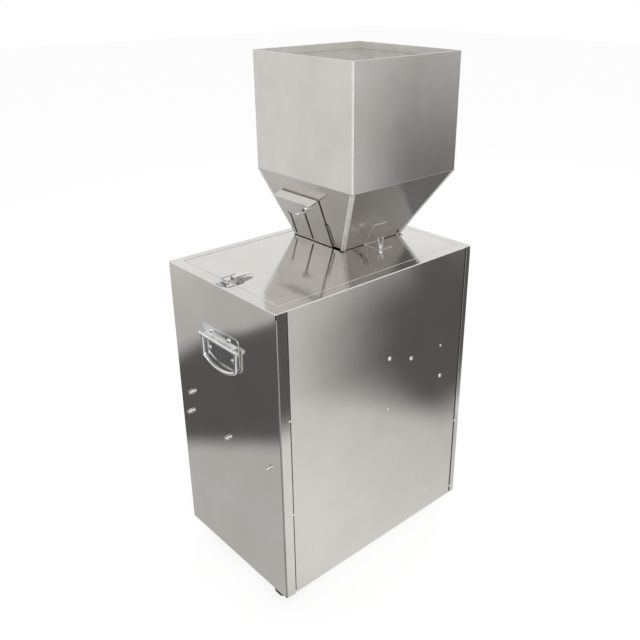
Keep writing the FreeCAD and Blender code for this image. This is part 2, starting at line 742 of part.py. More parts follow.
def top_rim():
    """Top of the cabinet round the lid, its inner edge stepped down into a ledge for the lid."""
    outer = ((-HALF_X, HALF_X), (-HALF_Y, HALF_Y))
    edge = ((RIM_LEFT, RIM_RIGHT), (RIM_FRONT, RIM_BACK))
    wall = ((RIM_LEFT - SHEET, RIM_RIGHT + SHEET), (RIM_FRONT - SHEET, RIM_BACK + SHEET))
    inside = ((RIM_LEFT + LEDGE_WIDTH, RIM_RIGHT - LEDGE_WIDTH),
              (RIM_FRONT + LEDGE_WIDTH, RIM_BACK - LEDGE_WIDTH))
    ledge_top = TOP_Z - LID_SHEET - SEAT_GAP
    ledge_bottom = ledge_top - SHEET
    plate = frame_between(outer, edge, (TOP_Z - SHEET, TOP_Z))
    step = frame_between(wall, edge, (ledge_bottom, TOP_Z - SHEET))
    ledge = frame_between(edge, inside, (ledge_bottom, ledge_top))
    rim = fused([plate, step, ledge])
    for y in tongue_places():
        half = TONGUE_WIDTH / 2 + PANEL_GAP
        rim = rim.cut(box((RIM_LEFT - TONGUE_REACH - PANEL_GAP, RIM_LEFT + LEDGE_WIDTH),
                          (y - half, y + half), (ledge_bottom, TOP_Z - SHEET)))
    return rim


def tongue_places():
    """Where the two tongues of the lid reach under the rim."""
    middle = (RIM_FRONT + RIM_BACK) / 2
    return (middle - TONGUE_SPACING / 2, middle + TONGUE_SPACING / 2)


def lid():
    """Lid plate with stiffeners, two tongues, the hopper opening and the weld nuts."""
    xs = (RIM_LEFT + LID_GAP, RIM_RIGHT - LID_GAP)
    ys = (RIM_FRONT + LID_GAP, RIM_BACK - LID_GAP)
    under = TOP_Z - LID_SHEET
    plate = box(xs, ys, (under, TOP_Z))
    outer = ((xs[0] + STIFFENER_INSET, xs[1] - STIFFENER_INSET),
             (ys[0] + STIFFENER_INSET, ys[1] - STIFFENER_INSET))
    inner = ((outer[0][0] + LID_SHEET, outer[0][1] - LID_SHEET),
             (outer[1][0] + LID_SHEET, outer[1][1] - LID_SHEET))
    pieces = [plate, frame_between(outer, inner, (under - STIFFENER_DEPTH, under))]
    for y in tongue_places():
        pieces.append(box((RIM_LEFT - TONGUE_REACH, RIM_LEFT + TONGUE_ROOT),
                          (y - TONGUE_WIDTH / 2, y + TONGUE_WIDTH / 2), (under - LID_SHEET, under)))
    for x, y in screw_places():
        pieces.append(rod(Vector(x, y, under - WELD_NUT_HEIGHT), Vector(x, y, under), WELD_NUT_RADIUS))
    whole = fused(pieces)
    opening = box((THROAT_LEFT - OPENING_GAP, THROAT_RIGHT + OPENING_GATE_ROOM),
                  (THROAT_FRONT - OPENING_GAP, THROAT_BACK + OPENING_GAP),
                  (under - STIFFENER_DEPTH, TOP_Z))
    whole = whole.cut(opening)
    for x, y in screw_places():
        low = Vector(x, y, under - WELD_NUT_HEIGHT)
        whole = whole.cut(rod(low, Vector(x, y, TOP_Z), SCREW_RADIUS + PIN_GAP))
    return whole


def screw_places():
    """The two screws that hold the hopper brackets on the lid, as X and Y."""
    back = (BRACKET_BACK_X + SCREW_OFFSET, THROAT_BACK + BRACKET_BACK_LEG - SCREW_INSET)
    left = (THROAT_LEFT - BRACKET_LEFT_LEG + SCREW_INSET, THROAT_Y)
    return (back, left)


def hopper_bin():
    """Square upper box of the hopper, folded from sheet, with a hemmed upper edge."""
    half = HOPPER_SIDE / 2
    outline = [(-half, -half), (half, -half), (half, half), (-half, half)]
    inner_half = half - HOPPER_SHEET
    inner = [(-inner_half, -inner_half), (inner_half, -inner_half), (inner_half, inner_half),
             (-inner_half, inner_half)]
    hem_half = inner_half - HOPPER_SHEET
    hem = [(-hem_half, -hem_half), (hem_half, -hem_half), (hem_half, hem_half), (-hem_half, hem_half)]
    radius = HOPPER_CORNER
    inner_radius = max(radius - HOPPER_SHEET, 0)
    shell = profile("XY", outline, CONE_TOP, HOPPER_TOP, [radius] * 4)
    shell = shell.cut(profile("XY", inner, CONE_TOP, HOPPER_TOP - HEM_HEIGHT, [inner_radius] * 4))
    shell = shell.cut(profile("XY", hem, HOPPER_TOP - HEM_HEIGHT, HOPPER_TOP))
    return shell.translated(Vector(HOPPER_X, HOPPER_Y, 0))


def collar_block(inset):
    """Outlet below the lid as a solid, its handle side on the slope of the cone, less a wall."""
    drop = COLLAR_DEPTH
    right = THROAT_RIGHT - inset / math.cos(GATE_SLOPE)
    outline = [(THROAT_LEFT + inset, TOP_Z), (right, TOP_Z),
               (right - drop * math.tan(GATE_SLOPE), TOP_Z - drop), (THROAT_LEFT + inset, TOP_Z - drop)]
    return profile("XZ", outline, THROAT_FRONT + inset, THROAT_BACK - inset)


def cone_block(inset):
    """Sloping part of the hopper as a solid, each side moved in by the same wall."""
    half = HOPPER_SIDE / 2 - inset
    upper = ((HOPPER_X - half, HOPPER_X + half), (HOPPER_Y - half, HOPPER_Y + half))
    lower = ((THROAT_LEFT + inset, THROAT_RIGHT - inset), (THROAT_FRONT + inset, THROAT_BACK - inset))
    return frustum(lower, TOP_Z, upper, CONE_TOP)


def hopper_cone():
    """Sloping lower part of the hopper and its outlet through the lid, with the gate's window."""
    outer = cone_block(0)
    slanted = [edge for edge in outer.Edges if abs(edge.Vertexes[0].Z - edge.Vertexes[1].Z) > 1]
    outer = outer.makeFillet(WELD_ROUND, slanted)
    outer = fused([outer, collar_block(0)])
    wall = HOPPER_SHEET / math.cos(BACK_SLOPE)
    shell = outer.cut(cone_block(wall)).cut(collar_block(HOPPER_SHEET))
    window = box((-WINDOW_WIDTH / 2, WINDOW_WIDTH / 2), (-2 * COLLAR_DEPTH, -WINDOW_TOP),
                 (-2 * HOPPER_SHEET, HOPPER_SHEET))
    return shell.cut(on_gate_slope(window))


def on_gate_slope(shape):
    """Puts a gate piece on the hopper's slope towards the handle end."""
    foot = Vector(THROAT_RIGHT, GATE_Y, TOP_Z)
    return shape.transformGeometry(slope_matrix(foot, Vector(1, 0, 0), GATE_SLOPE))


def flow_gate():
    """Sliding plate that sets how deep the product leaves the hopper, with a bent grip and a slot."""
    low = RUNNING_GAP
    path = [(-GATE_TIP, low), (GATE_TOP, low), (GATE_TOP, low + GATE_SHEET + GATE_FLANGE)]
    plate = folded_sheet("YZ", path, GATE_SHEET, -GATE_WIDTH / 2, GATE_WIDTH / 2, bends=(1,))
    half = GATE_SLOT_WIDTH / 2
    slot_low = GATE_STUD_HEIGHT - GATE_TRAVEL - half - RUNNING_GAP
    slot_top = GATE_STUD_HEIGHT + half + RUNNING_GAP
    outline = [(-half, slot_low), (half, slot_low), (half, slot_top), (-half, slot_top)]
    slot = profile("XY", outline, low, low + GATE_SHEET, [half - SEAT_GAP] * 4)
    return on_gate_slope(plate.cut(slot))


def gate_guides():
    """Two stepped strips that hold the gate's edges, and the stud for its wing nut."""
    edge = GATE_WIDTH / 2 + RUNNING_GAP
    lift = GATE_SHEET + 2 * RUNNING_GAP
    path = [(edge + GUIDE_FOOT, 0), (edge, 0), (edge, lift), (edge - GUIDE_LIP, lift)]
    strip = folded_sheet("XZ", path, -GUIDE_SHEET, GUIDE_BOTTOM, GUIDE_TOP)
    other = strip.mirror(Vector(0, 0, 0), Vector(1, 0, 0))
    stud = rod(Vector(0, GATE_STUD_HEIGHT, 0), Vector(0, GATE_STUD_HEIGHT, GATE_STUD_LENGTH),
               GATE_STUD_RADIUS)
    return on_gate_slope(Part.makeCompound([strip, other, stud]))


def wings(radius, span, low, high):
    """Two thin rounded wings that flare from a hub of the given radius, standing along Z."""
    half = span / 2
    middle = (low + high) / 2
    outline = [(radius - WING_ROOT, low), (half - WING_WAIST, middle), (half, high), (half - WING_TIP, high),
               (radius - WING_ROOT, middle + WING_START)]
    radii = [0, WING_ROOT, WING_TIP_RADIUS, WING_TIP_RADIUS, 0]
    wing = profile("XZ", outline, -WING_SHEET / 2, WING_SHEET / 2, radii)
    return [wing, wing.mirror(Vector(0, 0, 0), Vector(1, 0, 0))]


def wing_hub(low):
    """Round hub of a wing nut or wing screw, wider at its seat."""
    seat = Vector(0, 0, low)
    return Part.makeCone(WING_HUB_RADIUS + WING_HUB_FLARE, WING_HUB_RADIUS, WING_HUB_HEIGHT, seat)


def gate_wing_nut():
    """Wing nut on the stud, which clamps the gate where it is put."""
    low = GATE_SHEET + 2 * RUNNING_GAP
    nut = fused([wing_hub(low)] + wings(WING_HUB_RADIUS, WING_SPAN, low + WING_START, low + WING_HEIGHT))
    bore = rod(Vector(0, 0, 0), Vector(0, 0, low + WING_HEIGHT), GATE_STUD_RADIUS + PIN_GAP)
    return on_gate_slope(nut.cut(bore).translated(Vector(0, GATE_STUD_HEIGHT, 0)))


def bracket(leg, slope):
    """Folded bracket: a foot on the lid and a leg up a sloping side, as a profile along X."""
    upper = (-math.sin(slope) * BRACKET_UPPER, math.cos(slope) * BRACKET_UPPER)
    low = SEAT_GAP
    start = -math.tan(slope) * low
    path = [(-leg, low), (start, low), upper]
    return folded_sheet("YZ", path, BRACKET_SHEET, -BRACKET_WIDTH / 2, BRACKET_WIDTH / 2)


def hopper_brackets():
    """The two brackets that stand the hopper on the lid, drilled for their screws."""
    back_spin = Matrix()
    back_spin.rotateZ(math.pi)
    back = bracket(BRACKET_BACK_LEG, BACK_SLOPE).transformGeometry(back_spin)
    back = back.translated(Vector(BRACKET_BACK_X, THROAT_BACK, TOP_Z))
    left_spin = Matrix()
    left_spin.rotateZ(-math.pi / 2)
    left = bracket(BRACKET_LEFT_LEG, LEFT_SLOPE).transformGeometry(left_spin)
    left = left.translated(Vector(THROAT_LEFT, THROAT_Y, TOP_Z))
    pair = Part.makeCompound([back, left])
    for x, y in screw_places():
        pair = pair.cut(rod(Vector(x, y, TOP_Z), Vector(x, y, TOP_Z + SCREW_HEIGHT),
                            SCREW_RADIUS + PIN_GAP))
    return pair


def hopper_thumb_screw(place):
    """Tall wing screw that clamps a bracket to the lid."""
    foot = TOP_Z + 2 * SEAT_GAP + BRACKET_SHEET
    shank = rod(Vector(0, 0, TOP_Z - SCREW_BELOW), Vector(0, 0, foot + WING_START), SCREW_RADIUS)
    head = wings(WING_HUB_RADIUS, SCREW_SPAN, foot + WING_START, TOP_Z + SCREW_HEIGHT)
    return fused([shank, wing_hub(foot)] + head).translated(Vector(place[0], place[1], 0))


def latch_keeper():
    """Hook plate on the rim, with an upright lip for the bail."""
    left = RIM_RIGHT + KEEPER_INSET
    plate = box((left, left + KEEPER_LENGTH), (-KEEPER_WIDTH / 2, KEEPER_WIDTH / 2),
                (TOP_Z, TOP_Z + LATCH_SHEET))
    lip = box((KEEPER_LIP_X, KEEPER_LIP_X + LATCH_SHEET), (-KEEPER_LIP_WIDTH / 2, KEEPER_LIP_WIDTH / 2),
              (TOP_Z, TOP_Z + KEEPER_LIP))
    return fused([plate, lip]).translated(Vector(0, LATCH_Y, 0))


def latch_base():
    """Base plate on the lid with two ears and the lever's pin."""
    right = RIM_RIGHT - LID_GAP - LATCH_BASE_INSET
    plate = box((right - LATCH_BASE_LENGTH, right), (-KEEPER_WIDTH / 2, KEEPER_WIDTH / 2),
                (TOP_Z, TOP_Z + LATCH_SHEET))
    ears = []
    for side in (1, -1):
        inner = side * LATCH_EAR_GAP / 2
        outer = inner + side * LATCH_SHEET
        reach = LATCH_EAR_RADIUS
        corner = LATCH_EAR_CORNER
        outline = [(LATCH_PIN_X - reach, TOP_Z), (LATCH_PIN_X + reach, TOP_Z),
                   (LATCH_PIN_X + reach, LATCH_PIN_Z + corner), (LATCH_PIN_X - reach, LATCH_PIN_Z + corner)]
        ears.append(profile("XZ", outline, min(inner, outer), max(inner, outer), [0, 0, corner, corner]))
    half = LATCH_EAR_GAP / 2 + LATCH_SHEET
    pin = rod(Vector(LATCH_PIN_X, -half, LATCH_PIN_Z), Vector(LATCH_PIN_X, half, LATCH_PIN_Z),
              LATCH_PIN_RADIUS)
    return fused([plate, pin] + ears).translated(Vector(0, LATCH_Y, 0))


def latch_lever():
    """Tapered lever folded over its pin, with two bosses for the bail."""
    low = LATCH_PIN_Z + LEVER_LIFT
    high = low + LATCH_SHEET
    skirt = low - LEVER_SKIRT
    tip = LATCH_PIN_X - LEVER_LENGTH
    bend = tip + LEVER_TIP_LENGTH
    root = LATCH_PIN_X + LEVER_ROOT
    bail_x = LATCH_PIN_X - BAIL_ARM
    half = LEVER_WIDTH / 2
    side = [(root, skirt), (root, high), (bend, high), (tip, high + LEVER_RISE), (tip, low + LEVER_RISE),
            (bend, low), (bail_x - LEVER_SKIRT_RUN, skirt)]
    body = profile("XZ", side, -half, half)
    plan = [(root, -half), (root, half), (bail_x, half), (tip, LEVER_TIP_WIDTH / 2),
            (tip, -LEVER_TIP_WIDTH / 2), (bail_x, -half)]
    corners = [0, 0, 0, LEVER_TIP_CORNER, LEVER_TIP_CORNER, 0]
    body = body.common(profile("XY", plan, TOP_Z, high + LEVER_RISE, corners))
    hollow = box((bend, root), (-half + LATCH_SHEET, half - LATCH_SHEET), (TOP_Z, low))

    def across(x, radius):
        return rod(Vector(x, -half, LATCH_PIN_Z), Vector(x, half, LATCH_PIN_Z), radius)

    lever = fused([body.cut(hollow), across(LATCH_PIN_X, LATCH_PIN_RADIUS + LEVER_KNUCKLE)])
    lever = lever.cut(across(LATCH_PIN_X, LATCH_PIN_RADIUS + PIN_GAP))
    lever = lever.cut(across(bail_x, BAIL_WIRE + PIN_GAP))
    return lever.translated(Vector(0, LATCH_Y, 0))


def latch_bail():
    """Wire bail from the lever round the keeper's lip."""
    start = LATCH_PIN_X - BAIL_ARM
    end = KEEPER_LIP_X + LATCH_SHEET + BAIL_WIRE + RUNNING_GAP
    inner = LEVER_WIDTH / 2 - LATCH_SHEET
    half = BAIL_WIDTH / 2
    points = [Vector(start, inner, 0), Vector(start, half, 0), Vector(end, half, 0),
              Vector(end, -half, 0), Vector(start, -half, 0), Vector(start, -inner, 0)]
    return bent_rod(points, BAIL_WIRE, [BAIL_BEND] * 4).translated(Vector(0, LATCH_Y, LATCH_PIN_Z))


def on_end(shape, side):
    """Puts a piece drawn for the +X end on the end named by its sign."""
    return shape if side > 0 else shape.mirror(Vector(0, 0, 0), Vector(1, 0, 0))


def handle_plate(side):
    """Pressed base plate of a lifting handle with a rolled barrel across it."""
    top = SKIRT_HEIGHT + HANDLE_TOP
    low = top - HANDLE_HEIGHT
    half = HANDLE_WIDTH / 2
    outline = [(-half, low), (half, low), (half, top), (-half, top)]
    corners = [HANDLE_LOW_CORNER, HANDLE_LOW_CORNER, HANDLE_CORNER, HANDLE_CORNER]
    plate = profile("YZ", outline, HALF_X, HALF_X + SHEET, corners)
    slot_z = top - HANDLE_SLOT_DROP
    slot_half = HANDLE_SLOT_LENGTH / 2
    slot = [(-slot_half, slot_z - HANDLE_SLOT_WIDTH / 2), (slot_half, slot_z - HANDLE_SLOT_WIDTH / 2),
            (slot_half, slot_z + HANDLE_SLOT_WIDTH / 2), (-slot_half, slot_z + HANDLE_SLOT_WIDTH / 2)]
    plate = plate.cut(profile("YZ", slot, HALF_X, HALF_X + SHEET, [HANDLE_SLOT_CORNER] * 4))
    reach = HANDLE_BARREL_LENGTH / 2
    barrel = rod(Vector(HANDLE_PIN_X, -reach, HANDLE_PIN_Z), Vector(HANDLE_PIN_X, reach, HANDLE_PIN_Z),
                 HANDLE_BARREL_RADIUS)
    fillet = box((HALF_X, HANDLE_PIN_X), (-reach, reach),
                 (HANDLE_PIN_Z - HANDLE_BARREL_RADIUS / 2, HANDLE_PIN_Z + HANDLE_BARREL_RADIUS))
    bore = rod(Vector(HANDLE_PIN_X, -reach, HANDLE_PIN_Z), Vector(HANDLE_PIN_X, reach, HANDLE_PIN_Z),
               GRIP_PIN_RADIUS + PIN_GAP)
    rivets = []
    for spacing, z in ((HANDLE_TOP_RIVETS, slot_z), (HANDLE_LOW_RIVETS, low + HANDLE_RIVET_RISE)):
        for y in (-spacing / 2, spacing / 2):
            head = Vector(HALF_X + SHEET + HANDLE_RIVET_HEAD, y, z)
            rivets.append(rod(Vector(HALF_X, y, z), head, HANDLE_RIVET_RADIUS))
    plate = fused([plate, fillet, barrel] + rivets).cut(bore)
    return on_end(plate.translated(Vector(0, HANDLE_Y, 0)), side)


def handle_bail(side):
    """Hanging grip of a lifting handle, with a pin into each end of the barrel."""
    top_half = HANDLE_BARREL_LENGTH / 2 + GRIP_SIDE_GAP + GRIP_ROD
    low_half = GRIP_WIDTH / 2
    flat_half = GRIP_FLAT / 2
    points = [Vector(0, -top_half, 0), Vector(0, -low_half, -GRIP_SIDE_DROP),
              Vector(0, -flat_half, -GRIP_DROP), Vector(0, flat_half, -GRIP_DROP),
              Vector(0, low_half, -GRIP_SIDE_DROP), Vector(0, top_half, 0)]
    pieces = [bent_rod(points, GRIP_ROD, [GRIP_BEND, GRIP_BELLY, GRIP_BELLY, GRIP_BEND])]
    for end in (1, -1):
        inner = Vector(0, end * (HANDLE_BARREL_LENGTH / 2 - GRIP_PIN_DEPTH), 0)
        outer = Vector(0, end * (top_half + GRIP_ROD), 0)
        pieces.append(rod(inner, outer, GRIP_PIN_RADIUS))
        eye_start = Vector(0, end * (HANDLE_BARREL_LENGTH / 2 + GRIP_SIDE_GAP), 0)
        eye_end = Vector(0, end * (top_half + GRIP_ROD + GRIP_EYE_END), 0)
        pieces.append(rod(eye_start, eye_end, GRIP_EYE_RADIUS))
    bail = fused(pieces).translated(Vector(HANDLE_PIN_X, HANDLE_Y, HANDLE_PIN_Z))
    return on_end(bail, side)


def caster_place(corner):
    """Swivel axis of a caster, as a point on the floor, and the turn of its fork."""
    name, side_x, side_y, angle = corner
    return Vector(side_x * (HALF_X - CASTER_INSET), side_y * (HALF_Y - CASTER_INSET), 0), angle


def caster_plates():
    """Four top plates with their ball races and king pins, under the floor tray."""
    top = CASTER_HEIGHT
    race_bottom = top - CASTER_PLATE_SHEET - RACE_HEIGHT
    head_top = race_bottom - 2 * RACE_GAP - FORK_TOP_SHEET
    half = CASTER_PLATE / 2
    outline = [(-half, -half), (half, -half), (half, half), (-half, half)]
    plate = profile("XY", outline, top - CASTER_PLATE_SHEET, top, [CASTER_PLATE_CORNER] * 4)
    race = Part.makeCone(RACE_RADIUS, RACE_RADIUS + RACE_FLARE, RACE_HEIGHT, Vector(0, 0, race_bottom))
    pin = rod(Vector(0, 0, head_top), Vector(0, 0, top), KING_RADIUS)
    head = rod(Vector(0, 0, head_top - KING_HEAD_HEIGHT), Vector(0, 0, head_top), KING_HEAD_RADIUS)
    single = fused([plate, race, pin, head])
    return Part.makeCompound([single.translated(caster_place(c)[0]) for c in CASTER_ANGLES])


def caster_fork(corner):
    """Swivelling fork: round top, two tapered cheeks and the axle."""
    top = CASTER_HEIGHT - CASTER_PLATE_SHEET - RACE_HEIGHT - RACE_GAP
    under = top - FORK_TOP_SHEET
    crown = rod(Vector(0, 0, under), Vector(0, 0, top), FORK_RADIUS)
    crown = crown.cut(rod(Vector(0, 0, under), Vector(0, 0, top), KING_RADIUS + PIN_GAP))
    inner = HUB_WIDTH / 2 + FORK_SIDE_GAP
    eye_low = WHEEL_RADIUS - FORK_EYE_DROP
    outline = [(-FORK_BACK, top), (FORK_FRONT, top),
               (CASTER_TRAIL + FORK_EYE_FRONT, WHEEL_RADIUS + FORK_EYE_RISE),
               (CASTER_TRAIL + FORK_EYE_HALF, eye_low), (CASTER_TRAIL - FORK_EYE_HALF, eye_low)]
    corners = [FORK_BACK_CORNER, 0, FORK_EYE_CORNER, FORK_EYE_CORNER, FORK_EYE_CORNER]
    pieces = [crown]
    for side in (1, -1):
        ys = sorted((side * inner, side * (inner + FORK_SHEET)))
        pieces.append(profile("XZ", outline, ys[0], ys[1], corners))
    reach = inner + FORK_SHEET + AXLE_END
    pieces.append(rod(Vector(CASTER_TRAIL, -reach, WHEEL_RADIUS), Vector(CASTER_TRAIL, reach, WHEEL_RADIUS),
                      AXLE_RADIUS))
    place, angle = caster_place(corner)
    return fused(pieces).rotated(Vector(0, 0, 0), Vector(0, 0, 1), angle).translated(place)


def caster_wheel(corner):
    """Turned wheel with a rounded tread, dished sides and a hub."""
    half = WHEEL_WIDTH / 2
    dish = half - WHEEL_DISH
    hub = HUB_WIDTH / 2
    bore = AXLE_RADIUS + PIN_GAP
    tread = WHEEL_RADIUS - WHEEL_TREAD
    outline = [(bore, -hub), (HUB_RADIUS, -hub), (HUB_RADIUS, -dish), (tread - WHEEL_CHAMFER, -dish),
               (tread, -half), (WHEEL_RADIUS, -half), (WHEEL_RADIUS, half), (tread, half),
               (tread - WHEEL_CHAMFER, dish), (HUB_RADIUS, dish), (HUB_RADIUS, hub), (bore, hub)]
    radii = [0, 0, 0, 0, 0, WHEEL_ROUND, WHEEL_ROUND, 0, 0, 0, 0, 0]
    points = [Vector(r, y, 0) for r, y in outline]
    wheel = Part.Face(rounded_wire(points, radii)).revolve(Vector(0, 0, 0), Vector(0, 1, 0), 360)
    place, angle = caster_place(corner)
    wheel = wheel.translated(Vector(CASTER_TRAIL, 0, WHEEL_RADIUS))
    return wheel.rotated(Vector(0, 0, 0), Vector(0, 0, 1), angle).translated(place)


def feeder_bracket():
    """Cantilever shelf on the back panel, with a gusset at each side."""
    path = [(INNER_Y, SHELF_BACK_BOTTOM), (INNER_Y, SHELF_TOP), (SHELF_FRONT, SHELF_TOP)]
    shelf = folded_sheet("YZ", path, SHELF_SHEET, SHELF_LEFT, SHELF_RIGHT)
    back = INNER_Y - SHELF_SHEET
    under = SHELF_TOP - SHELF_SHEET
    gusset = [(back, SHELF_BACK_BOTTOM), (back, under), (SHELF_FRONT, under),
              (SHELF_FRONT, under - GUSSET_TIP),
              (back - GUSSET_FOOT, SHELF_BACK_BOTTOM)]
    pieces = [shelf]
    for left in (SHELF_LEFT, SHELF_RIGHT - SHELF_SHEET):
        pieces.append(profile("YZ", gusset, left, left + SHELF_SHEET))
    whole = fused(pieces)
    middle = Vector((SHELF_LEFT + SHELF_RIGHT) / 2, back / 2, under)
    whole = whole.cut(rod(middle, middle + Vector(0, 0, SHELF_SHEET), SHELF_HOLE_RADIUS))
    for bolts, radius in ((BACK_BOLTS, BOLT_RADIUS), (BACK_SMALL_BOLTS, SMALL_BOLT_RADIUS)):
        for x, z in bolts:
            whole = whole.cut(rod(Vector(x, back, z), Vector(x, INNER_Y, z), radius + BOLT_GAP))
    return whole


def isolator_places():
    """Four corners of the feeder's base, as X and Y."""
    dx = FEED_BASE_LENGTH / 2 - ISOLATOR_RADIUS
    dy = FEED_BASE_WIDTH / 2 - ISOLATOR_RADIUS
    return [(FEED_BASE_X + sx * dx, FEED_Y + sy * dy) for sx in (1, -1) for sy in (1, -1)]


def feeder_isolators():
    """Rubber feet between the shelf and the feeder's base, waisted like the real ones."""
    upper = ISOLATOR_HEIGHT - ISOLATOR_DISC
    outline = [(0, 0), (ISOLATOR_RADIUS, 0), (ISOLATOR_RADIUS, ISOLATOR_DISC),
               (ISOLATOR_WAIST, ISOLATOR_HEIGHT / 2),
               (ISOLATOR_RADIUS, upper), (ISOLATOR_RADIUS, ISOLATOR_HEIGHT), (0, ISOLATOR_HEIGHT)]
    points = [Vector(r, 0, z) for r, z in outline]
    foot = Part.Face(rounded_wire(points, [0] * len(points))).revolve(Vector(0, 0, 0), Vector(0, 0, 1), 360)
    return Part.makeCompound([foot.translated(Vector(x, y, SHELF_TOP)) for x, y in isolator_places()])


def leaf_block(x, thickness, low, high, half_width):
    """A slanted slab through (x, top of the clamp floor), leaning back by the leaf angle."""
    lean = math.tan(math.radians(LEAF_ANGLE))
    half = thickness / 2 / math.cos(math.radians(LEAF_ANGLE))
    datum = FEED_BASE_TOP + CLAMP_FLOOR
    outline = []
    for z, side in ((low, -1), (low, 1), (high, 1), (high, -1)):
        outline.append((x - (z - datum) * lean + side * half, z))
    return profile("XZ", outline, FEED_Y - half_width, FEED_Y + half_width)


def feeder_base():
    """Heavy base of the feeder with a slotted clamp for each leaf spring."""
    half_x = FEED_BASE_LENGTH / 2
    half_y = FEED_BASE_WIDTH / 2
    pieces = [box((FEED_BASE_X - half_x, FEED_BASE_X + half_x), (FEED_Y - half_y, FEED_Y + half_y),
                  (FEED_BASE_BOTTOM, FEED_BASE_TOP))]
    clamp_top = FEED_BASE_TOP + CLAMP_HEIGHT
    clamp_y = half_y - CLAMP_INSET
    for x in (LEAF_FRONT_X, LEAF_REAR_X):
        pieces.append(box((x - CLAMP_LENGTH / 2, x + CLAMP_LENGTH / 2), (FEED_Y - clamp_y, FEED_Y + clamp_y),
                          (FEED_BASE_TOP, clamp_top)))
    base = fused(pieces)
    for x in (LEAF_FRONT_X, LEAF_REAR_X):
        base = base.cut(leaf_block(x, LEAF_THICKNESS + 2 * LEAF_GAP, FEED_BASE_TOP + CLAMP_FLOOR - LEAF_GAP,
                                   clamp_top, half_y))
    return base


def feeder_springs():
    """Two leaf springs that carry the trough, each with its clamp under the trough."""
    floor = TROUGH_FLOOR - TROUGH_SHEET
    lean = math.tan(math.radians(LEAF_ANGLE))
    clamp_bottom = floor - UPPER_CLAMP_HEIGHT
    pieces = []
    for x in (LEAF_FRONT_X, LEAF_REAR_X):
        leaf = leaf_block(x, LEAF_THICKNESS, FEED_BASE_TOP + CLAMP_FLOOR, floor, LEAF_WIDTH / 2)
        top_x = x - (floor - FEED_BASE_TOP - CLAMP_FLOOR) * lean
        clamp = box((top_x - CLAMP_LENGTH / 2, top_x + CLAMP_LENGTH / 2),
                    (FEED_Y - LEAF_WIDTH / 2, FEED_Y + LEAF_WIDTH / 2), (clamp_bottom, floor))
        pieces.append(fused([leaf, clamp]))
    return Part.makeCompound(pieces)


def feeder_magnet():
    """Coil and laminated core of the drive magnet on the base."""
    half_x = MAGNET_LENGTH / 2
    half_y = MAGNET_WIDTH / 2
    top = FEED_BASE_TOP + MAGNET_COIL_HEIGHT
    coil = box((FEED_BASE_X - half_x, FEED_BASE_X + half_x), (FEED_Y - half_y, FEED_Y + half_y),
               (FEED_BASE_TOP + MAGNET_COIL_FOOT, top))
    upright = [edge for edge in coil.Edges if abs(edge.Vertexes[0].Z - edge.Vertexes[1].Z) > 1]
    coil = coil.makeFillet(MAGNET_COIL_CORNER, upright)
    armature_bottom = TROUGH_FLOOR - TROUGH_SHEET - ARMATURE_HEIGHT
    half = ARMATURE_SIDE / 2
    core = box((FEED_BASE_X - half, FEED_BASE_X + half), (FEED_Y - half, FEED_Y + half),
               (FEED_BASE_TOP, armature_bottom - MAGNET_AIR_GAP))
    return fused([coil, core])


def trough_plan(inset):
    """Outline of the trough seen from above: wide under the hopper, narrow at its lip."""
    left = THROAT_LEFT - TROUGH_BACK_ROOM - TROUGH_SHEET + inset
    wide = THROAT_WIDTH / 2 + TROUGH_SIDE_ROOM + TROUGH_SHEET - inset
    narrow = TROUGH_LIP_WIDTH / 2 + TROUGH_SHEET - inset
    right = TROUGH_LIP_X + (inset > 0)
    return [(left, FEED_Y - wide), (TROUGH_TAPER_X, FEED_Y - wide), (right, FEED_Y - narrow),
            (right, FEED_Y + narrow), (TROUGH_TAPER_X, FEED_Y + wide), (left, FEED_Y + wide)]


def feeder_trough():
    """Vibrating trough, open above and at its lip, with the magnet's armature below."""
    bottom = TROUGH_FLOOR - TROUGH_SHEET
    tray = profile("XY", trough_plan(0), bottom, TROUGH_FLOOR + TROUGH_WALL)
    tray = tray.cut(profile("XY", trough_plan(TROUGH_SHEET), TROUGH_FLOOR, TROUGH_FLOOR + TROUGH_WALL))
    half = ARMATURE_SIDE / 2
    armature = box((FEED_BASE_X - half, FEED_BASE_X + half), (FEED_Y - half, FEED_Y + half),
                   (bottom - ARMATURE_HEIGHT, bottom))
    return fused([tray, armature])


def weigh_rail():
    """Angle rail on the handle end that carries the load cell, with an ear for the fourth bolt."""
    path = [(INNER_X, RAIL_BOTTOM), (INNER_X, RAIL_TOP), (INNER_X - RAIL_REACH, RAIL_TOP)]
    rail = folded_sheet("XZ", path, RAIL_SHEET, RAIL_FRONT, RAIL_BACK)
    ear_y, ear_z = END_BOLTS[0]
    ear = profile("YZ", [(ear_y - RAIL_EAR_HALF, RAIL_TOP), (ear_y + RAIL_EAR_HALF, RAIL_TOP),
                         (ear_y + RAIL_EAR_HALF, RAIL_TOP + RAIL_EAR_RISE),
                         (ear_y - RAIL_EAR_HALF, RAIL_TOP + RAIL_EAR_RISE)],
                  INNER_X - RAIL_SHEET, INNER_X, [0, 0, RAIL_EAR_CORNER, RAIL_EAR_CORNER])
    spacer = box((INNER_X - RAIL_REACH, INNER_X - RAIL_SHEET),
                 (CELL_Y - CELL_WIDTH / 2, CELL_Y + CELL_WIDTH / 2),
                 (RAIL_TOP, CELL_BOTTOM))
    whole = fused([rail, ear, spacer])
    for y, z in END_BOLTS:
        hole = rod(Vector(INNER_X - RAIL_SHEET, y, z), Vector(INNER_X, y, z), BOLT_RADIUS + BOLT_GAP)
        whole = whole.cut(hole)
    return whole


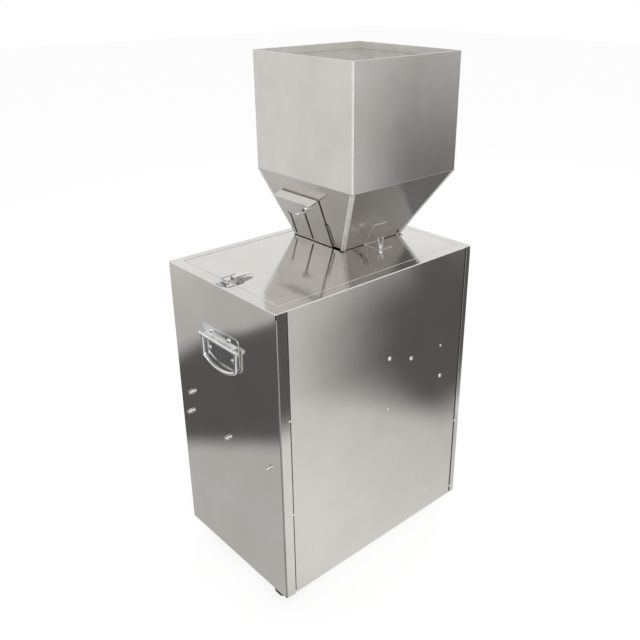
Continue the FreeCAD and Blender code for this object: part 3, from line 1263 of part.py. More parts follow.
def load_cell():
    """Bar load cell with the usual pair of joined holes through its middle."""
    xs = (CELL_X, CELL_X + CELL_LENGTH)
    ys = (CELL_Y - CELL_WIDTH / 2, CELL_Y + CELL_WIDTH / 2)
    bar = box(xs, ys, (CELL_BOTTOM, CELL_TOP))
    middle_z = (CELL_BOTTOM + CELL_TOP) / 2
    middle_x = CELL_X + CELL_LENGTH / 2
    for offset in (-CELL_HOLE_SPACING / 2, CELL_HOLE_SPACING / 2):
        start = Vector(middle_x + offset, ys[0], middle_z)
        bar = bar.cut(rod(start, start + Vector(0, CELL_WIDTH, 0), CELL_HOLE_RADIUS))
    slot = box((middle_x - CELL_HOLE_SPACING / 2, middle_x + CELL_HOLE_SPACING / 2), ys,
               (middle_z - CELL_HOLE_RADIUS / 3, middle_z + CELL_HOLE_RADIUS / 3))
    return bar.cut(slot)


def weigh_arm():
    """Folded arm from the free end of the load cell up to the back of the bucket."""
    foot_back = CELL_Y + CELL_WIDTH / 2
    upright = CELL_Y - CELL_WIDTH / 2 - ARM_SHEET
    foot_z = CELL_TOP + CELL_SPACER
    path = [(foot_back, foot_z), (upright, foot_z), (upright, ARM_SHELF_Z), (BUCKET_BACK, ARM_SHELF_Z),
            (BUCKET_BACK, ARM_SHELF_Z + ARM_PAD_HEIGHT)]
    arm = folded_sheet("YZ", path, -ARM_SHEET, CELL_X, CELL_X + ARM_WIDTH)
    spacer = box((CELL_X, CELL_X + ARM_FOOT_LENGTH), (foot_back - CELL_WIDTH, foot_back), (CELL_TOP, foot_z))
    return fused([arm, spacer])


def bucket_block(inset):
    """Weigh bucket as a solid: a straight box over a taper to the outlet, less a wall."""
    xs = (BUCKET_LEFT + inset, BUCKET_LEFT + BUCKET_LENGTH - inset)
    ys = (FEED_Y - BUCKET_WIDTH / 2 + inset, FEED_Y + BUCKET_WIDTH / 2 - inset)
    outlet_xs = (OUTLET_LEFT + inset, OUTLET_LEFT + OUTLET_LENGTH - inset)
    outlet_ys = (FEED_Y - OUTLET_WIDTH / 2 + inset, FEED_Y + OUTLET_WIDTH / 2 - inset)
    neck = BUCKET_TOP - BUCKET_STRAIGHT
    taper = frustum((outlet_xs, outlet_ys), BUCKET_BOTTOM, (xs, ys), neck)
    return fused([box(xs, ys, (neck, BUCKET_TOP)), taper])


def weigh_bucket():
    """Bucket that holds one dose on the load cell, with ears for the flap's pin."""
    shell = bucket_block(0).cut(bucket_block(BUCKET_SHEET))
    right = OUTLET_LEFT + OUTLET_LENGTH
    half = OUTLET_WIDTH / 2 + FLAP_MARGIN
    ear_top = BUCKET_BOTTOM + FLAP_EAR_RISE
    knuckle = FLAP_KNUCKLE_RADIUS
    corners = [0, 0, FLAP_EAR_CORNER, FLAP_EAR_CORNER, FLAP_EAR_CORNER, 0]
    pieces = [shell]
    for side in (1, -1):
        inner = FEED_Y + side * (half + RUNNING_GAP)
        outer = inner + side * FLAP_EAR_SHEET
        outline = [(right - FLAP_EAR_REACH, ear_top), (right - FLAP_EAR_REACH, BUCKET_BOTTOM + FLAP_EAR_HEEL),
                   (FLAP_PIN_X - knuckle, FLAP_PIN_Z - knuckle), (FLAP_PIN_X + knuckle, FLAP_PIN_Z - knuckle),
                   (FLAP_PIN_X + knuckle, FLAP_PIN_Z + knuckle), (right, ear_top)]
        pieces.append(profile("XZ", outline, min(inner, outer), max(inner, outer), corners))
        web_x = right - FLAP_WEB_INSET
        web_z = BUCKET_BOTTOM + FLAP_WEB_RISE
        wall = FEED_Y + side * (OUTLET_WIDTH / 2 - BUCKET_SHEET)
        pieces.append(box((web_x - FLAP_WEB, web_x), (wall, outer), (web_z, web_z + FLAP_WEB)))
    reach = half + RUNNING_GAP + FLAP_EAR_SHEET
    pieces.append(rod(Vector(FLAP_PIN_X, FEED_Y - reach, FLAP_PIN_Z),
                      Vector(FLAP_PIN_X, FEED_Y + reach, FLAP_PIN_Z),
                      FLAP_PIN_RADIUS))
    whole = fused(pieces)
    return whole.cut(bucket_block(BUCKET_SHEET))


def weigh_flap():
    """Flap under the bucket with its knuckle and the crank that the solenoid lifts."""
    top = BUCKET_BOTTOM - RUNNING_GAP
    half = OUTLET_WIDTH / 2 + FLAP_MARGIN
    plate = box((OUTLET_LEFT - FLAP_MARGIN, FLAP_PIN_X), (FEED_Y - half, FEED_Y + half),
                (top - FLAP_SHEET, top))
    knuckle = rod(Vector(FLAP_PIN_X, FEED_Y - half, FLAP_PIN_Z),
                  Vector(FLAP_PIN_X, FEED_Y + half, FLAP_PIN_Z),
                  FLAP_KNUCKLE_RADIUS)
    crank = box((FLAP_PIN_X, FLAP_PIN_X + CRANK_LENGTH), (FEED_Y - CRANK_WIDTH / 2, FEED_Y + CRANK_WIDTH / 2),
                (FLAP_PIN_Z - FLAP_SHEET, FLAP_PIN_Z + FLAP_SHEET))
    bore = rod(Vector(FLAP_PIN_X, FEED_Y - half, FLAP_PIN_Z), Vector(FLAP_PIN_X, FEED_Y + half, FLAP_PIN_Z),
               FLAP_PIN_RADIUS + PIN_GAP)
    return fused([plate, knuckle, crank]).cut(bore)


def plunger_x():
    """Axis of the solenoid, beside the bucket and over the end of the crank."""
    return BUCKET_LEFT + BUCKET_LENGTH + SOLENOID_LENGTH / 2


def flap_solenoid():
    """Open-frame solenoid on the side of the bucket, with the bore of its plunger."""
    left = BUCKET_LEFT + BUCKET_LENGTH
    body = box((left, left + SOLENOID_LENGTH), (FEED_Y - SOLENOID_WIDTH / 2, FEED_Y + SOLENOID_WIDTH / 2),
               (SOLENOID_Z, SOLENOID_Z + SOLENOID_HEIGHT))
    low = Vector(plunger_x(), FEED_Y, SOLENOID_Z)
    return body.cut(rod(low, low + Vector(0, 0, PLUNGER_BORE_DEPTH), PLUNGER_RADIUS + PIN_GAP))


def solenoid_plunger():
    """Plunger that is drawn up into the solenoid and opens the flap."""
    bottom = FLAP_PIN_Z + FLAP_SHEET + PLUNGER_CLEVIS_GAP
    top = SOLENOID_Z + PLUNGER_BORE_DEPTH - PLUNGER_STROKE - PLUNGER_END_GAP
    x = plunger_x()
    shaft = rod(Vector(x, FEED_Y, bottom), Vector(x, FEED_Y, top), PLUNGER_RADIUS)
    foot = box((x - CLEVIS_LENGTH / 2, x + CLEVIS_LENGTH / 2),
               (FEED_Y - CLEVIS_WIDTH / 2, FEED_Y + CLEVIS_WIDTH / 2),
               (bottom, bottom + CLEVIS_HEIGHT))
    return fused([shaft, foot])


def chute_block(inset):
    """Chute as a solid, sloping from under the bucket to the front, less a wall."""
    slope = (CHUTE_TOP - CHUTE_BACK_WALL - CHUTE_EXIT_BOTTOM) / (CHUTE_BACK + INNER_Y)
    lift = inset * math.hypot(1, slope)
    reach = 1 if inset else 0
    outline = [(CHUTE_BACK - inset, CHUTE_TOP + reach), (CHUTE_FRONT + inset, CHUTE_TOP + reach),
               (-INNER_Y - reach, CHUTE_EXIT_TOP - inset), (-INNER_Y - reach, CHUTE_EXIT_BOTTOM + lift),
               (CHUTE_BACK - inset, CHUTE_TOP - CHUTE_BACK_WALL + lift - inset * slope)]
    return profile("YZ", outline, CHUTE_LEFT + inset, CHUTE_LEFT + CHUTE_LENGTH - inset)


def discharge_chute():
    """Sloping chute from the bucket to the opening in the front panel, with a flange behind the panel."""
    flange = box((CHUTE_LEFT - CHUTE_FLANGE, CHUTE_LEFT + CHUTE_LENGTH + CHUTE_FLANGE),
                 (-INNER_Y, -INNER_Y + CHUTE_SHEET),
                 (CHUTE_EXIT_BOTTOM - CHUTE_FLANGE, CHUTE_EXIT_TOP + CHUTE_FLANGE))
    return fused([chute_block(0), flange]).cut(chute_block(CHUTE_SHEET))


def hood_block(inset):
    """Hood of the spout as a solid on the front of the cabinet, less a wall."""
    front = -HALF_Y - SPOUT_REACH + inset
    slope_in = inset * math.tan(math.radians(SPOUT_HOOD_SLOPE) / 2)
    top = SPOUT_HOOD_TOP - inset
    drop = (SPOUT_REACH - SPOUT_HOOD_FLAT) * math.tan(math.radians(SPOUT_HOOD_SLOPE))
    outline = [(-HALF_Y, top), (-HALF_Y - SPOUT_HOOD_FLAT + slope_in, top),
               (front, SPOUT_HOOD_TOP - drop - slope_in), (front, CHUTE_EXIT_BOTTOM),
               (-HALF_Y, CHUTE_EXIT_BOTTOM)]
    return profile("YZ", outline, CHUTE_LEFT + inset, CHUTE_LEFT + CHUTE_LENGTH - inset)


def funnel_block(inset):
    """Funnel from the hood's rectangle to the round nozzle, less a wall."""
    half_x = CHUTE_LENGTH / 2 - inset
    half_y = SPOUT_REACH / 2 - inset
    radius = NOZZLE_RADIUS - inset
    centre = Vector(SPOUT_X, SPOUT_Y, CHUTE_EXIT_BOTTOM)
    signs = ((-1, -1), (1, -1), (1, 1), (-1, 1))
    corners = [centre + Vector(sx * half_x, sy * half_y, 0) for sx, sy in signs]
    upper = rounded_wire(corners, [FUNNEL_CORNER] * 4)
    arcs = []
    for i in range(4):
        for low, high in ((210 + 90 * i, 240 + 90 * i), (240 + 90 * i, 300 + 90 * i)):
            angles = [math.radians(angle) for angle in (low, (low + high) / 2, high)]
            on_ring = [Vector(SPOUT_X + radius * math.cos(a), SPOUT_Y + radius * math.sin(a), FUNNEL_BOTTOM)
                       for a in angles]
            arcs.append(Part.Arc(*on_ring).toShape())
    return Part.makeLoft([Part.Wire(arcs), upper], True, True)


def discharge_spout():
    """Hood, funnel and nozzle in one welded piece, with a bolting flange on the front panel."""
    flange_outer = box((CHUTE_LEFT - SPOUT_FLANGE, CHUTE_LEFT + CHUTE_LENGTH + SPOUT_FLANGE),
                       (-HALF_Y - CHUTE_SHEET, -HALF_Y), (CHUTE_EXIT_BOTTOM, SPOUT_HOOD_TOP + SPOUT_FLANGE))
    low = Vector(SPOUT_X, SPOUT_Y, NOZZLE_BOTTOM)
    high = Vector(SPOUT_X, SPOUT_Y, FUNNEL_BOTTOM)
    outer = fused([hood_block(0), flange_outer, funnel_block(0), rod(low, high, NOZZLE_RADIUS)])
    hood_inside = hood_block(NOZZLE_SHEET)
    bore = rod(low, high, NOZZLE_RADIUS - NOZZLE_SHEET)
    return outer.cut(hood_inside).cut(funnel_block(NOZZLE_SHEET)).cut(bore)


def control_point(x, z, y=CONTROL_FACE):
    """A point on the control panel, from its middle."""
    return Vector(CONTROL_X + x, y, CONTROL_Z + z)


def control_panel():
    """Control plate with its window, button, knob and switch openings, and the switch's bezel."""
    half_x = CONTROL_WIDTH / 2
    half_z = CONTROL_HEIGHT / 2
    outline = [(CONTROL_X - half_x, CONTROL_Z - half_z), (CONTROL_X + half_x, CONTROL_Z - half_z),
               (CONTROL_X + half_x, CONTROL_Z + half_z), (CONTROL_X - half_x, CONTROL_Z + half_z)]
    plate = profile("XZ", outline, CONTROL_FACE, -HALF_Y, [CONTROL_CORNER] * 4)
    bezel_x = ROCKER_WIDTH / 2 + RUNNING_GAP + ROCKER_FRAME
    bezel_z = ROCKER_RADIUS + RUNNING_GAP + ROCKER_FRAME
    middle = control_point(ROCKER_X, ROCKER_Z)
    well_floor = -HALF_Y + ROCKER_WELL
    bezel = box((middle.x - bezel_x, middle.x + bezel_x),
                (CONTROL_FACE - ROCKER_BEZEL, well_floor + ROCKER_WELL_FLOOR),
                (middle.z - bezel_z, middle.z + bezel_z))
    pieces = [plate, bezel]
    for x in (-half_x + CONTROL_MARGIN / 2, half_x - CONTROL_MARGIN / 2):
        for z in (-half_z + CONTROL_MARGIN / 2, half_z - CONTROL_MARGIN / 2):
            start = control_point(x, z)
            pieces.append(rod(start - Vector(0, CONTROL_SCREW_HEAD, 0), start, CONTROL_SCREW_RADIUS))
    whole = fused(pieces)
    through = Vector(0, CONTROL_SHEET, 0)
    display = control_point(DISPLAY_X, DISPLAY_Z)
    whole = whole.cut(box((display.x - DISPLAY_WIDTH / 2, display.x + DISPLAY_WIDTH / 2),
                          (CONTROL_FACE, -HALF_Y),
                          (display.z - DISPLAY_HEIGHT / 2, display.z + DISPLAY_HEIGHT / 2)))
    for x in BUTTON_XS:
        start = control_point(x, BUTTON_Z)
        whole = whole.cut(rod(start, start + through, BUTTON_RADIUS + RUNNING_GAP))
    start = control_point(KNOB_X, KNOB_Z)
    whole = whole.cut(rod(start, start + through, KNOB_SHAFT + RUNNING_GAP))
    well = box((middle.x - bezel_x + ROCKER_FRAME, middle.x + bezel_x - ROCKER_FRAME),
               (CONTROL_FACE - ROCKER_BEZEL, well_floor),
               (middle.z - bezel_z + ROCKER_FRAME, middle.z + bezel_z - ROCKER_FRAME))
    return whole.cut(well)


def display_window():
    """Clear window set into the control plate, just behind its face."""
    middle = control_point(DISPLAY_X, DISPLAY_Z)
    front = CONTROL_FACE + DISPLAY_INSET
    return box((middle.x - DISPLAY_WIDTH / 2, middle.x + DISPLAY_WIDTH / 2), (front, front + DISPLAY_SHEET),
               (middle.z - DISPLAY_HEIGHT / 2, middle.z + DISPLAY_HEIGHT / 2))


def push_button(x):
    """Round push button with a collar behind the plate and a stem towards its switch."""
    face = control_point(x, BUTTON_Z, CONTROL_FACE - BUTTON_HEIGHT)
    collar = Vector(face.x, -HALF_Y + SEAT_GAP, face.z)
    cap = rod(face, collar, BUTTON_RADIUS)
    rim = [edge for edge in cap.Edges if edge.Vertexes[0].Y < face.y + SEAT_GAP and len(edge.Vertexes) == 1]
    cap = cap.makeFillet(BUTTON_EDGE, rim)
    ring = rod(collar, collar + Vector(0, BUTTON_COLLAR_HEIGHT, 0), BUTTON_RADIUS + BUTTON_COLLAR)
    stem_end = BOARD_Y - SWITCH_HEIGHT - RUNNING_GAP - BUTTON_TRAVEL
    stem = rod(collar, Vector(face.x, stem_end, face.z), BUTTON_STEM_RADIUS)
    return fused([cap, ring, stem])


def speed_knob():
    """Grooved knob on the shaft of the feed-rate control."""
    back = control_point(KNOB_X, KNOB_Z, CONTROL_FACE - RUNNING_GAP)
    front = back - Vector(0, KNOB_HEIGHT, 0)
    body = Part.makeCone(KNOB_RADIUS, KNOB_RADIUS - KNOB_TAPER, KNOB_HEIGHT, back, Vector(0, -1, 0))
    for i in range(KNOB_GRIPS):
        angle = 2 * math.pi * i / KNOB_GRIPS
        offset = Vector(math.cos(angle), 0, math.sin(angle)) * (KNOB_RADIUS + KNOB_GRIP_OFFSET)
        body = body.cut(rod(back + offset - Vector(0, KNOB_SKIRT, 0), front + offset, KNOB_GRIP_RADIUS))
    shaft = rod(front, control_point(KNOB_X, KNOB_Z, BOARD_Y - DIAL_FLOOR), KNOB_SHAFT)
    return fused([body, shaft])


def power_rocker():
    """Rocker of the power switch: a round back and a hollow front face, tilted to off."""
    middle = control_point(ROCKER_X, ROCKER_Z, CONTROL_FACE)
    outline = [(-ROCKER_PROUD, -ROCKER_EDGE), (ROCKER_DISH - ROCKER_PROUD, 0), (-ROCKER_PROUD, ROCKER_EDGE),
               (ROCKER_DEPTH, ROCKER_BACK), (ROCKER_DEPTH, -ROCKER_BACK)]
    rounds = [ROCKER_NOSE, ROCKER_FACE_ROUND, ROCKER_NOSE, ROCKER_BACK_ROUND, ROCKER_BACK_ROUND]
    body = profile("YZ", outline, -ROCKER_WIDTH / 2, ROCKER_WIDTH / 2, rounds)
    return body.rotated(Vector(0, 0, 0), Vector(1, 0, 0), ROCKER_TILT).translated(middle)


def control_board():
    """Circuit board behind the controls on three standoffs, with the switches and the dial's body."""
    half_x = CONTROL_WIDTH / 2 - BOARD_INSET
    half_z = CONTROL_HEIGHT / 2 - BOARD_INSET
    pieces = [box((CONTROL_X - half_x, CONTROL_X + half_x), (BOARD_Y, BOARD_Y + BOARD_SHEET),
                  (CONTROL_Z - half_z, CONTROL_Z + half_z))]
    for side_x, side_z in ((-1, 1), (-1, -1), (1, -1)):
        x = side_x * (half_x - STANDOFF_RADIUS)
        z = side_z * (half_z - STANDOFF_RADIUS)
        pieces.append(rod(control_point(x, z, -HALF_Y), control_point(x, z, BOARD_Y), STANDOFF_RADIUS))
    half = SWITCH_SIDE / 2
    for x in BUTTON_XS:
        switch = control_point(x, BUTTON_Z, BOARD_Y)
        pieces.append(box((switch.x - half, switch.x + half), (BOARD_Y - SWITCH_HEIGHT, BOARD_Y),
                          (switch.z - half, switch.z + half)))
    dial = control_point(KNOB_X, KNOB_Z, BOARD_Y)
    dial_front = dial - Vector(0, DIAL_BODY_HEIGHT, 0)
    pieces.append(rod(dial_front, dial, DIAL_BODY_RADIUS))
    return fused(pieces).cut(rod(dial_front, dial, KNOB_SHAFT + PIN_GAP))


def power_supply():
    """Boxed power supply on the floor tray, with slots in its cover."""
    xs = (SUPPLY_X - SUPPLY_LENGTH / 2, SUPPLY_X + SUPPLY_LENGTH / 2)
    ys = (SUPPLY_Y - SUPPLY_WIDTH / 2, SUPPLY_Y + SUPPLY_WIDTH / 2)
    block = box(xs, ys, (PAN_TOP, PAN_TOP + SUPPLY_HEIGHT))
    top = PAN_TOP + SUPPLY_HEIGHT
    for i in range(SUPPLY_SLOTS):
        x = SUPPLY_X + (i - (SUPPLY_SLOTS - 1) / 2) * SUPPLY_SLOT_PITCH
        block = block.cut(box((x - SUPPLY_SLOT_WIDTH / 2, x + SUPPLY_SLOT_WIDTH / 2),
                              (ys[0] + SUPPLY_SLOT_MARGIN, ys[1] - SUPPLY_SLOT_MARGIN),
                              (top - SUPPLY_SLOT_DEPTH, top)))
    return block


def power_inlet():
    """Appliance inlet in the left end: flange, body, recess and three blades."""
    half_w = INLET_WIDTH / 2
    half_h = INLET_HEIGHT / 2
    outline = [(INLET_Y - half_w, INLET_Z - half_h), (INLET_Y + half_w, INLET_Z - half_h),
               (INLET_Y + half_w, INLET_Z + half_h), (INLET_Y - half_w, INLET_Z + half_h)]
    flange = profile("YZ", outline, -HALF_X - INLET_FLANGE, -HALF_X, [INLET_CORNER] * 4)
    body = box((-HALF_X, -HALF_X + INLET_DEPTH),
               (INLET_Y - INLET_BODY_WIDTH / 2, INLET_Y + INLET_BODY_WIDTH / 2),
               (INLET_Z - INLET_BODY_HEIGHT / 2, INLET_Z + INLET_BODY_HEIGHT / 2))
    mouth = -HALF_X - INLET_FLANGE
    recess = box((mouth, mouth + INLET_RECESS_DEPTH),
                 (INLET_Y - INLET_RECESS_WIDTH / 2, INLET_Y + INLET_RECESS_WIDTH / 2),
                 (INLET_Z - INLET_RECESS_HEIGHT / 2, INLET_Z + INLET_RECESS_HEIGHT / 2))
    pieces = [fused([flange, body]).cut(recess)]
    for i in (-1, 0, 1):
        y = INLET_Y + i * BLADE_SPACING
        z = INLET_Z - BLADE_DROP
        pieces.append(box((mouth + BLADE_INSET, mouth + INLET_RECESS_DEPTH),
                          (y - BLADE_WIDTH / 2, y + BLADE_WIDTH / 2),
                          (z - BLADE_HEIGHT / 2, z + BLADE_HEIGHT / 2)))
    return fused(pieces)


def hexagon(radius, height):
    """A six-sided head or nut standing on the XY plane."""
    turns = [i * math.pi / 3 for i in range(6)]
    points = [Vector(radius * math.cos(a), radius * math.sin(a), 0) for a in turns]
    return Part.Face(Part.makePolygon(points + points[:1])).extrude(Vector(0, 0, height))


def bolt(head, grip, radius):
    """A bolt along -Z from its seat at the origin, through its grip and its nut."""
    shank = rod(Vector(0, 0, 0), Vector(0, 0, -grip - NUT_HEIGHT), radius)
    nut = hexagon(radius * NUT_CORNERS, NUT_HEIGHT).translated(Vector(0, 0, -grip - NUT_HEIGHT))
    return fused([head, shank, nut])


def panel_bolts():
    """Bolts of the inner brackets: socket heads on the handle end, domed heads on the back."""
    washer = rod(Vector(0, 0, 0), Vector(0, 0, WASHER_HEIGHT), WASHER_RADIUS)
    cap_end = WASHER_HEIGHT + CAP_HEIGHT
    cap = rod(Vector(0, 0, 0), Vector(0, 0, cap_end), CAP_RADIUS)
    socket = hexagon(SOCKET_RADIUS, SOCKET_DEPTH).translated(Vector(0, 0, cap_end - SOCKET_DEPTH))
    end_bolt = bolt(fused([washer, cap]).cut(socket), SHEET + RAIL_SHEET, BOLT_RADIUS)
    pieces = []
    for y, z in END_BOLTS:
        turned = end_bolt.rotated(Vector(0, 0, 0), Vector(0, 1, 0), 90)
        pieces.append(turned.translated(Vector(HALF_X, y, z)))
    domes = ((BACK_BOLTS, BOLT_RADIUS, DOME_RADIUS, DOME_HEIGHT),
             (BACK_SMALL_BOLTS, SMALL_BOLT_RADIUS, SMALL_HEAD_RADIUS, SMALL_HEAD_HEIGHT))
    for bolts, shank, radius, height in domes:
        sphere = (radius ** 2 + height ** 2) / (2 * height)
        ball = Part.makeSphere(sphere, Vector(0, 0, height - sphere))
        head = ball.common(rod(Vector(0, 0, 0), Vector(0, 0, height), radius))
        dome_bolt = bolt(head, SHEET + SHELF_SHEET, shank)
        for x, z in bolts:
            turned = dome_bolt.rotated(Vector(0, 0, 0), Vector(1, 0, 0), -90)
            pieces.append(turned.translated(Vector(x, HALF_Y, z)))
    return Part.makeCompound(pieces)


def all_pieces():
    """Every sub-part by its node name, about the middle of the cabinet."""
    back_screw, left_screw = screw_places()
    pieces = {
        "base_pan": base_pan(), "right_end_panel": right_end_panel(), "left_end_panel": left_end_panel(),
        "back_panel": back_panel(), "front_panel": front_panel(), "top_rim": top_rim(), "lid": lid(),
        "hopper_bin": hopper_bin(), "hopper_cone": hopper_cone(), "flow_gate": flow_gate(),
        "gate_guides": gate_guides(), "gate_wing_nut": gate_wing_nut(), "hopper_brackets": hopper_brackets(),
        "hopper_screw_back": hopper_thumb_screw(back_screw),
        "hopper_screw_left": hopper_thumb_screw(left_screw),
        "latch_keeper": latch_keeper(), "latch_base": latch_base(), "latch_lever": latch_lever(),
        "latch_bail": latch_bail(),
        "handle_plate_right": handle_plate(1), "handle_plate_left": handle_plate(-1),
        "handle_bail_right": handle_bail(1), "handle_bail_left": handle_bail(-1),
        "feeder_bracket": feeder_bracket(), "feeder_isolators": feeder_isolators(),
        "feeder_base": feeder_base(), "feeder_springs": feeder_springs(),
        "feeder_magnet": feeder_magnet(), "feeder_trough": feeder_trough(),
        "weigh_rail": weigh_rail(), "load_cell": load_cell(), "weigh_arm": weigh_arm(),
        "weigh_bucket": weigh_bucket(), "weigh_flap": weigh_flap(), "flap_solenoid": flap_solenoid(),
        "solenoid_plunger": solenoid_plunger(), "discharge_chute": discharge_chute(),
        "discharge_spout": discharge_spout(),
        "control_panel": control_panel(), "display_window": display_window(),
        "power_rocker": power_rocker(), "speed_knob": speed_knob(), "control_board": control_board(),
        "power_supply": power_supply(), "power_inlet": power_inlet(), "panel_bolts": panel_bolts(),
        "caster_plates": caster_plates(),
    }
    for i, x in enumerate(BUTTON_XS):
        pieces[f"push_button_{i + 1}"] = push_button(x)
    for corner in CASTER_ANGLES:
        pieces[f"caster_fork_{corner[0]}"] = caster_fork(corner)
        pieces[f"caster_wheel_{corner[0]}"] = caster_wheel(corner)
    return pieces


def footprint_shift(pieces):
    """How far the machine moves so that the middle of its footprint is the origin."""
    bounds = Part.makeCompound(list(pieces.values())).optimalBoundingBox(False)
    return Vector(-(bounds.XMin + bounds.XMax) / 2, -(bounds.YMin + bounds.YMax) / 2, -bounds.ZMin)


def main():
    """Writes one STEP file for each sub-part."""
    os.makedirs("parts", exist_ok=True)
    pieces = all_pieces()
    shift = footprint_shift(pieces)
    for name, shape in pieces.items():
        moved = shape.translated(shift)
        moved.exportStep(f"parts/{name}.step")
        print(name, "solids", len(moved.Solids), "valid", moved.isValid(), "volume", round(moved.Volume))
    print("moved by", shift)


if __name__ == "__main__":
    main()
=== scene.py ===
import json
import math

import bmesh
import bpy
import numpy as np
from bpy.props import FloatProperty, PointerProperty, StringProperty
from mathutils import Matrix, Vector

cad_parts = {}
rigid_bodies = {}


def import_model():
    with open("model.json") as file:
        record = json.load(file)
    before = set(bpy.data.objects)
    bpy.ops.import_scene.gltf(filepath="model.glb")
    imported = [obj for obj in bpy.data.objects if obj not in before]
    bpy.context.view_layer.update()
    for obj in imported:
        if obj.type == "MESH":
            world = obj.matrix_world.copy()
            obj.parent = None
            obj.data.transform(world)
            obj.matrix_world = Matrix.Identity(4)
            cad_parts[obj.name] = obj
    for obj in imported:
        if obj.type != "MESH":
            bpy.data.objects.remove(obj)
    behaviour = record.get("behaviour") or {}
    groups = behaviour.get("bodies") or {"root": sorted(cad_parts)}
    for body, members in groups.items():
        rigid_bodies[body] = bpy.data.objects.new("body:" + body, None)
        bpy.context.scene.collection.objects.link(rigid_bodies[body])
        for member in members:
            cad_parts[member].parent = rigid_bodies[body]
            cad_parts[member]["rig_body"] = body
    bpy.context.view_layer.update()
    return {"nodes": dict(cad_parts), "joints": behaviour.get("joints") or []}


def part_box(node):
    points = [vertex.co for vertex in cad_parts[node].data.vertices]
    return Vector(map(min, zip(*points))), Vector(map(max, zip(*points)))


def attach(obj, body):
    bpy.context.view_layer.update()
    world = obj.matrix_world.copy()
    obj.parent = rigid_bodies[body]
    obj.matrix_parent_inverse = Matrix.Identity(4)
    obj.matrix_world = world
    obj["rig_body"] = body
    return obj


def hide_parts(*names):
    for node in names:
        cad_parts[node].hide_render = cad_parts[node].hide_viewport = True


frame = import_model()
MM = 0.001

bl_info = {
    "name": "Weighing filling machine",
    "version": (1, 0, 0),
    "blender": (4, 5, 0),
    "location": "View3D > Sidebar > Filling Machine",
    "description": "Dresses the packed weighing filling machine: sheet metal, fittings, controls and studio",
    "category": "Object",
}

RIGHT_LOW, RIGHT_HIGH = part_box("right_end_panel")
LEFT_LOW, LEFT_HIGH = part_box("left_end_panel")
HOME = np.array([(LEFT_LOW.x + RIGHT_HIGH.x) / 2, (RIGHT_LOW.y + RIGHT_HIGH.y) / 2, 0.0])
HALF_X = (RIGHT_HIGH.x - LEFT_LOW.x) / 2 / MM
HALF_Y = (RIGHT_HIGH.y - RIGHT_LOW.y) / 2 / MM
JOINTS = {joint["name"]: joint for joint in frame["joints"]}


def home_mm(point):
    """A row-frame point in metres, as millimetres from the middle of the cabinet's footprint."""
    return (np.array(point) - HOME) / MM


def box_mm(node):
    """The two corners of a node's box, in millimetres from the middle of the cabinet's footprint."""
    return tuple(home_mm(corner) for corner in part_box(node))


def linear(hex_colour):
    """An sRGB hex colour as linear RGBA, by the sRGB transfer curve."""
    values = [int(hex_colour[i:i + 2], 16) / 255 for i in (1, 3, 5)]
    return tuple(v / 12.92 if v <= 0.04045 else ((v + 0.055) / 1.055) ** 2.4 for v in values) + (1.0,)


def add(tree, kind, sockets=None, **fields):
    """Adds one node. fields are its own settings; a socket gets a value, or a link from an output."""
    node = tree.nodes.new(kind)
    for field, value in fields.items():
        setattr(node, field, value)
    for name, value in (sockets or {}).items():
        if isinstance(value, bpy.types.NodeSocket):
            tree.links.new(value, node.inputs[name])
        else:
            node.inputs[name].default_value = value
    return node


def made_once(name, build):
    """The material of this name. The first time, build adds its nodes to the tree and gives the last shader."""
    material = bpy.data.materials.get(name)
    if material is None:
        material = bpy.data.materials.new(name)
        material.use_nodes = True
        tree = material.node_tree
        tree.nodes.clear()
        add(tree, "ShaderNodeOutputMaterial", {"Surface": build(tree).outputs[0]})
    return material


def noise(tree, grain_mm, detail=2.0, roughness=0.5):
    """Noise on Object coordinates, whose grain is so many millimetres long, on every axis or one by one."""
    place = add(tree, "ShaderNodeTexCoord").outputs["Object"]
    scale = tuple(1.0 / (length * MM) for length in np.broadcast_to(grain_mm, 3))
    stretch = add(tree, "ShaderNodeMapping", {"Vector": place, "Scale": scale})
    return add(tree, "ShaderNodeTexNoise", {"Vector": stretch.outputs["Vector"], "Scale": 1.0,
                                            "Detail": detail, "Roughness": roughness}).outputs["Fac"]


def ramp(tree, value, low, high, to_low, to_high):
    """Maps value from low..high to to_low..to_high, held at both ends."""
    sockets = {"Value": value, "From Min": low, "From Max": high, "To Min": to_low, "To Max": to_high}
    return add(tree, "ShaderNodeMapRange", sockets, clamp=True).outputs["Result"]


def mixed(tree, factor, first, second):
    """A colour between two hex colours."""
    sockets = {"Factor": factor, 6: linear(first), 7: linear(second)}
    return add(tree, "ShaderNodeMix", sockets, data_type="RGBA").outputs[2]


def bump(tree, height, depth_mm, **sockets):
    """A bump as deep as depth_mm where height goes from 0 to 1."""
    sockets.update(Height=height, Distance=depth_mm * MM, Strength=1.0)
    return add(tree, "ShaderNodeBump", sockets).outputs["Normal"]


def finished(name, colours, drift, roughness, grain, depth, sockets, wave=None):
    """A finish. Its colour drifts between two in patches, drift being their length and harshness, and its
    roughness follows the grain. One bump gives the grain; on a sheet another gives slow waves, by wave's
    length and depth."""
    def build(tree):
        patches = noise(tree, drift[0], 3.0, drift[1])
        fine = noise(tree, grain, 2.0, 0.6)
        under = {"Normal": bump(tree, noise(tree, wave[0], 1.0, 0.4), wave[1])} if wave else {}
        return add(tree, "ShaderNodeBsdfPrincipled", {
            "Base Color": mixed(tree, ramp(tree, patches, 0.35, 0.65, 0.0, 1.0), *colours),
            "Roughness": ramp(tree, fine, 0.3, 0.7, *roughness),
            "Normal": bump(tree, fine, depth, **under),
            **sockets,
        })
    return made_once(name, build)


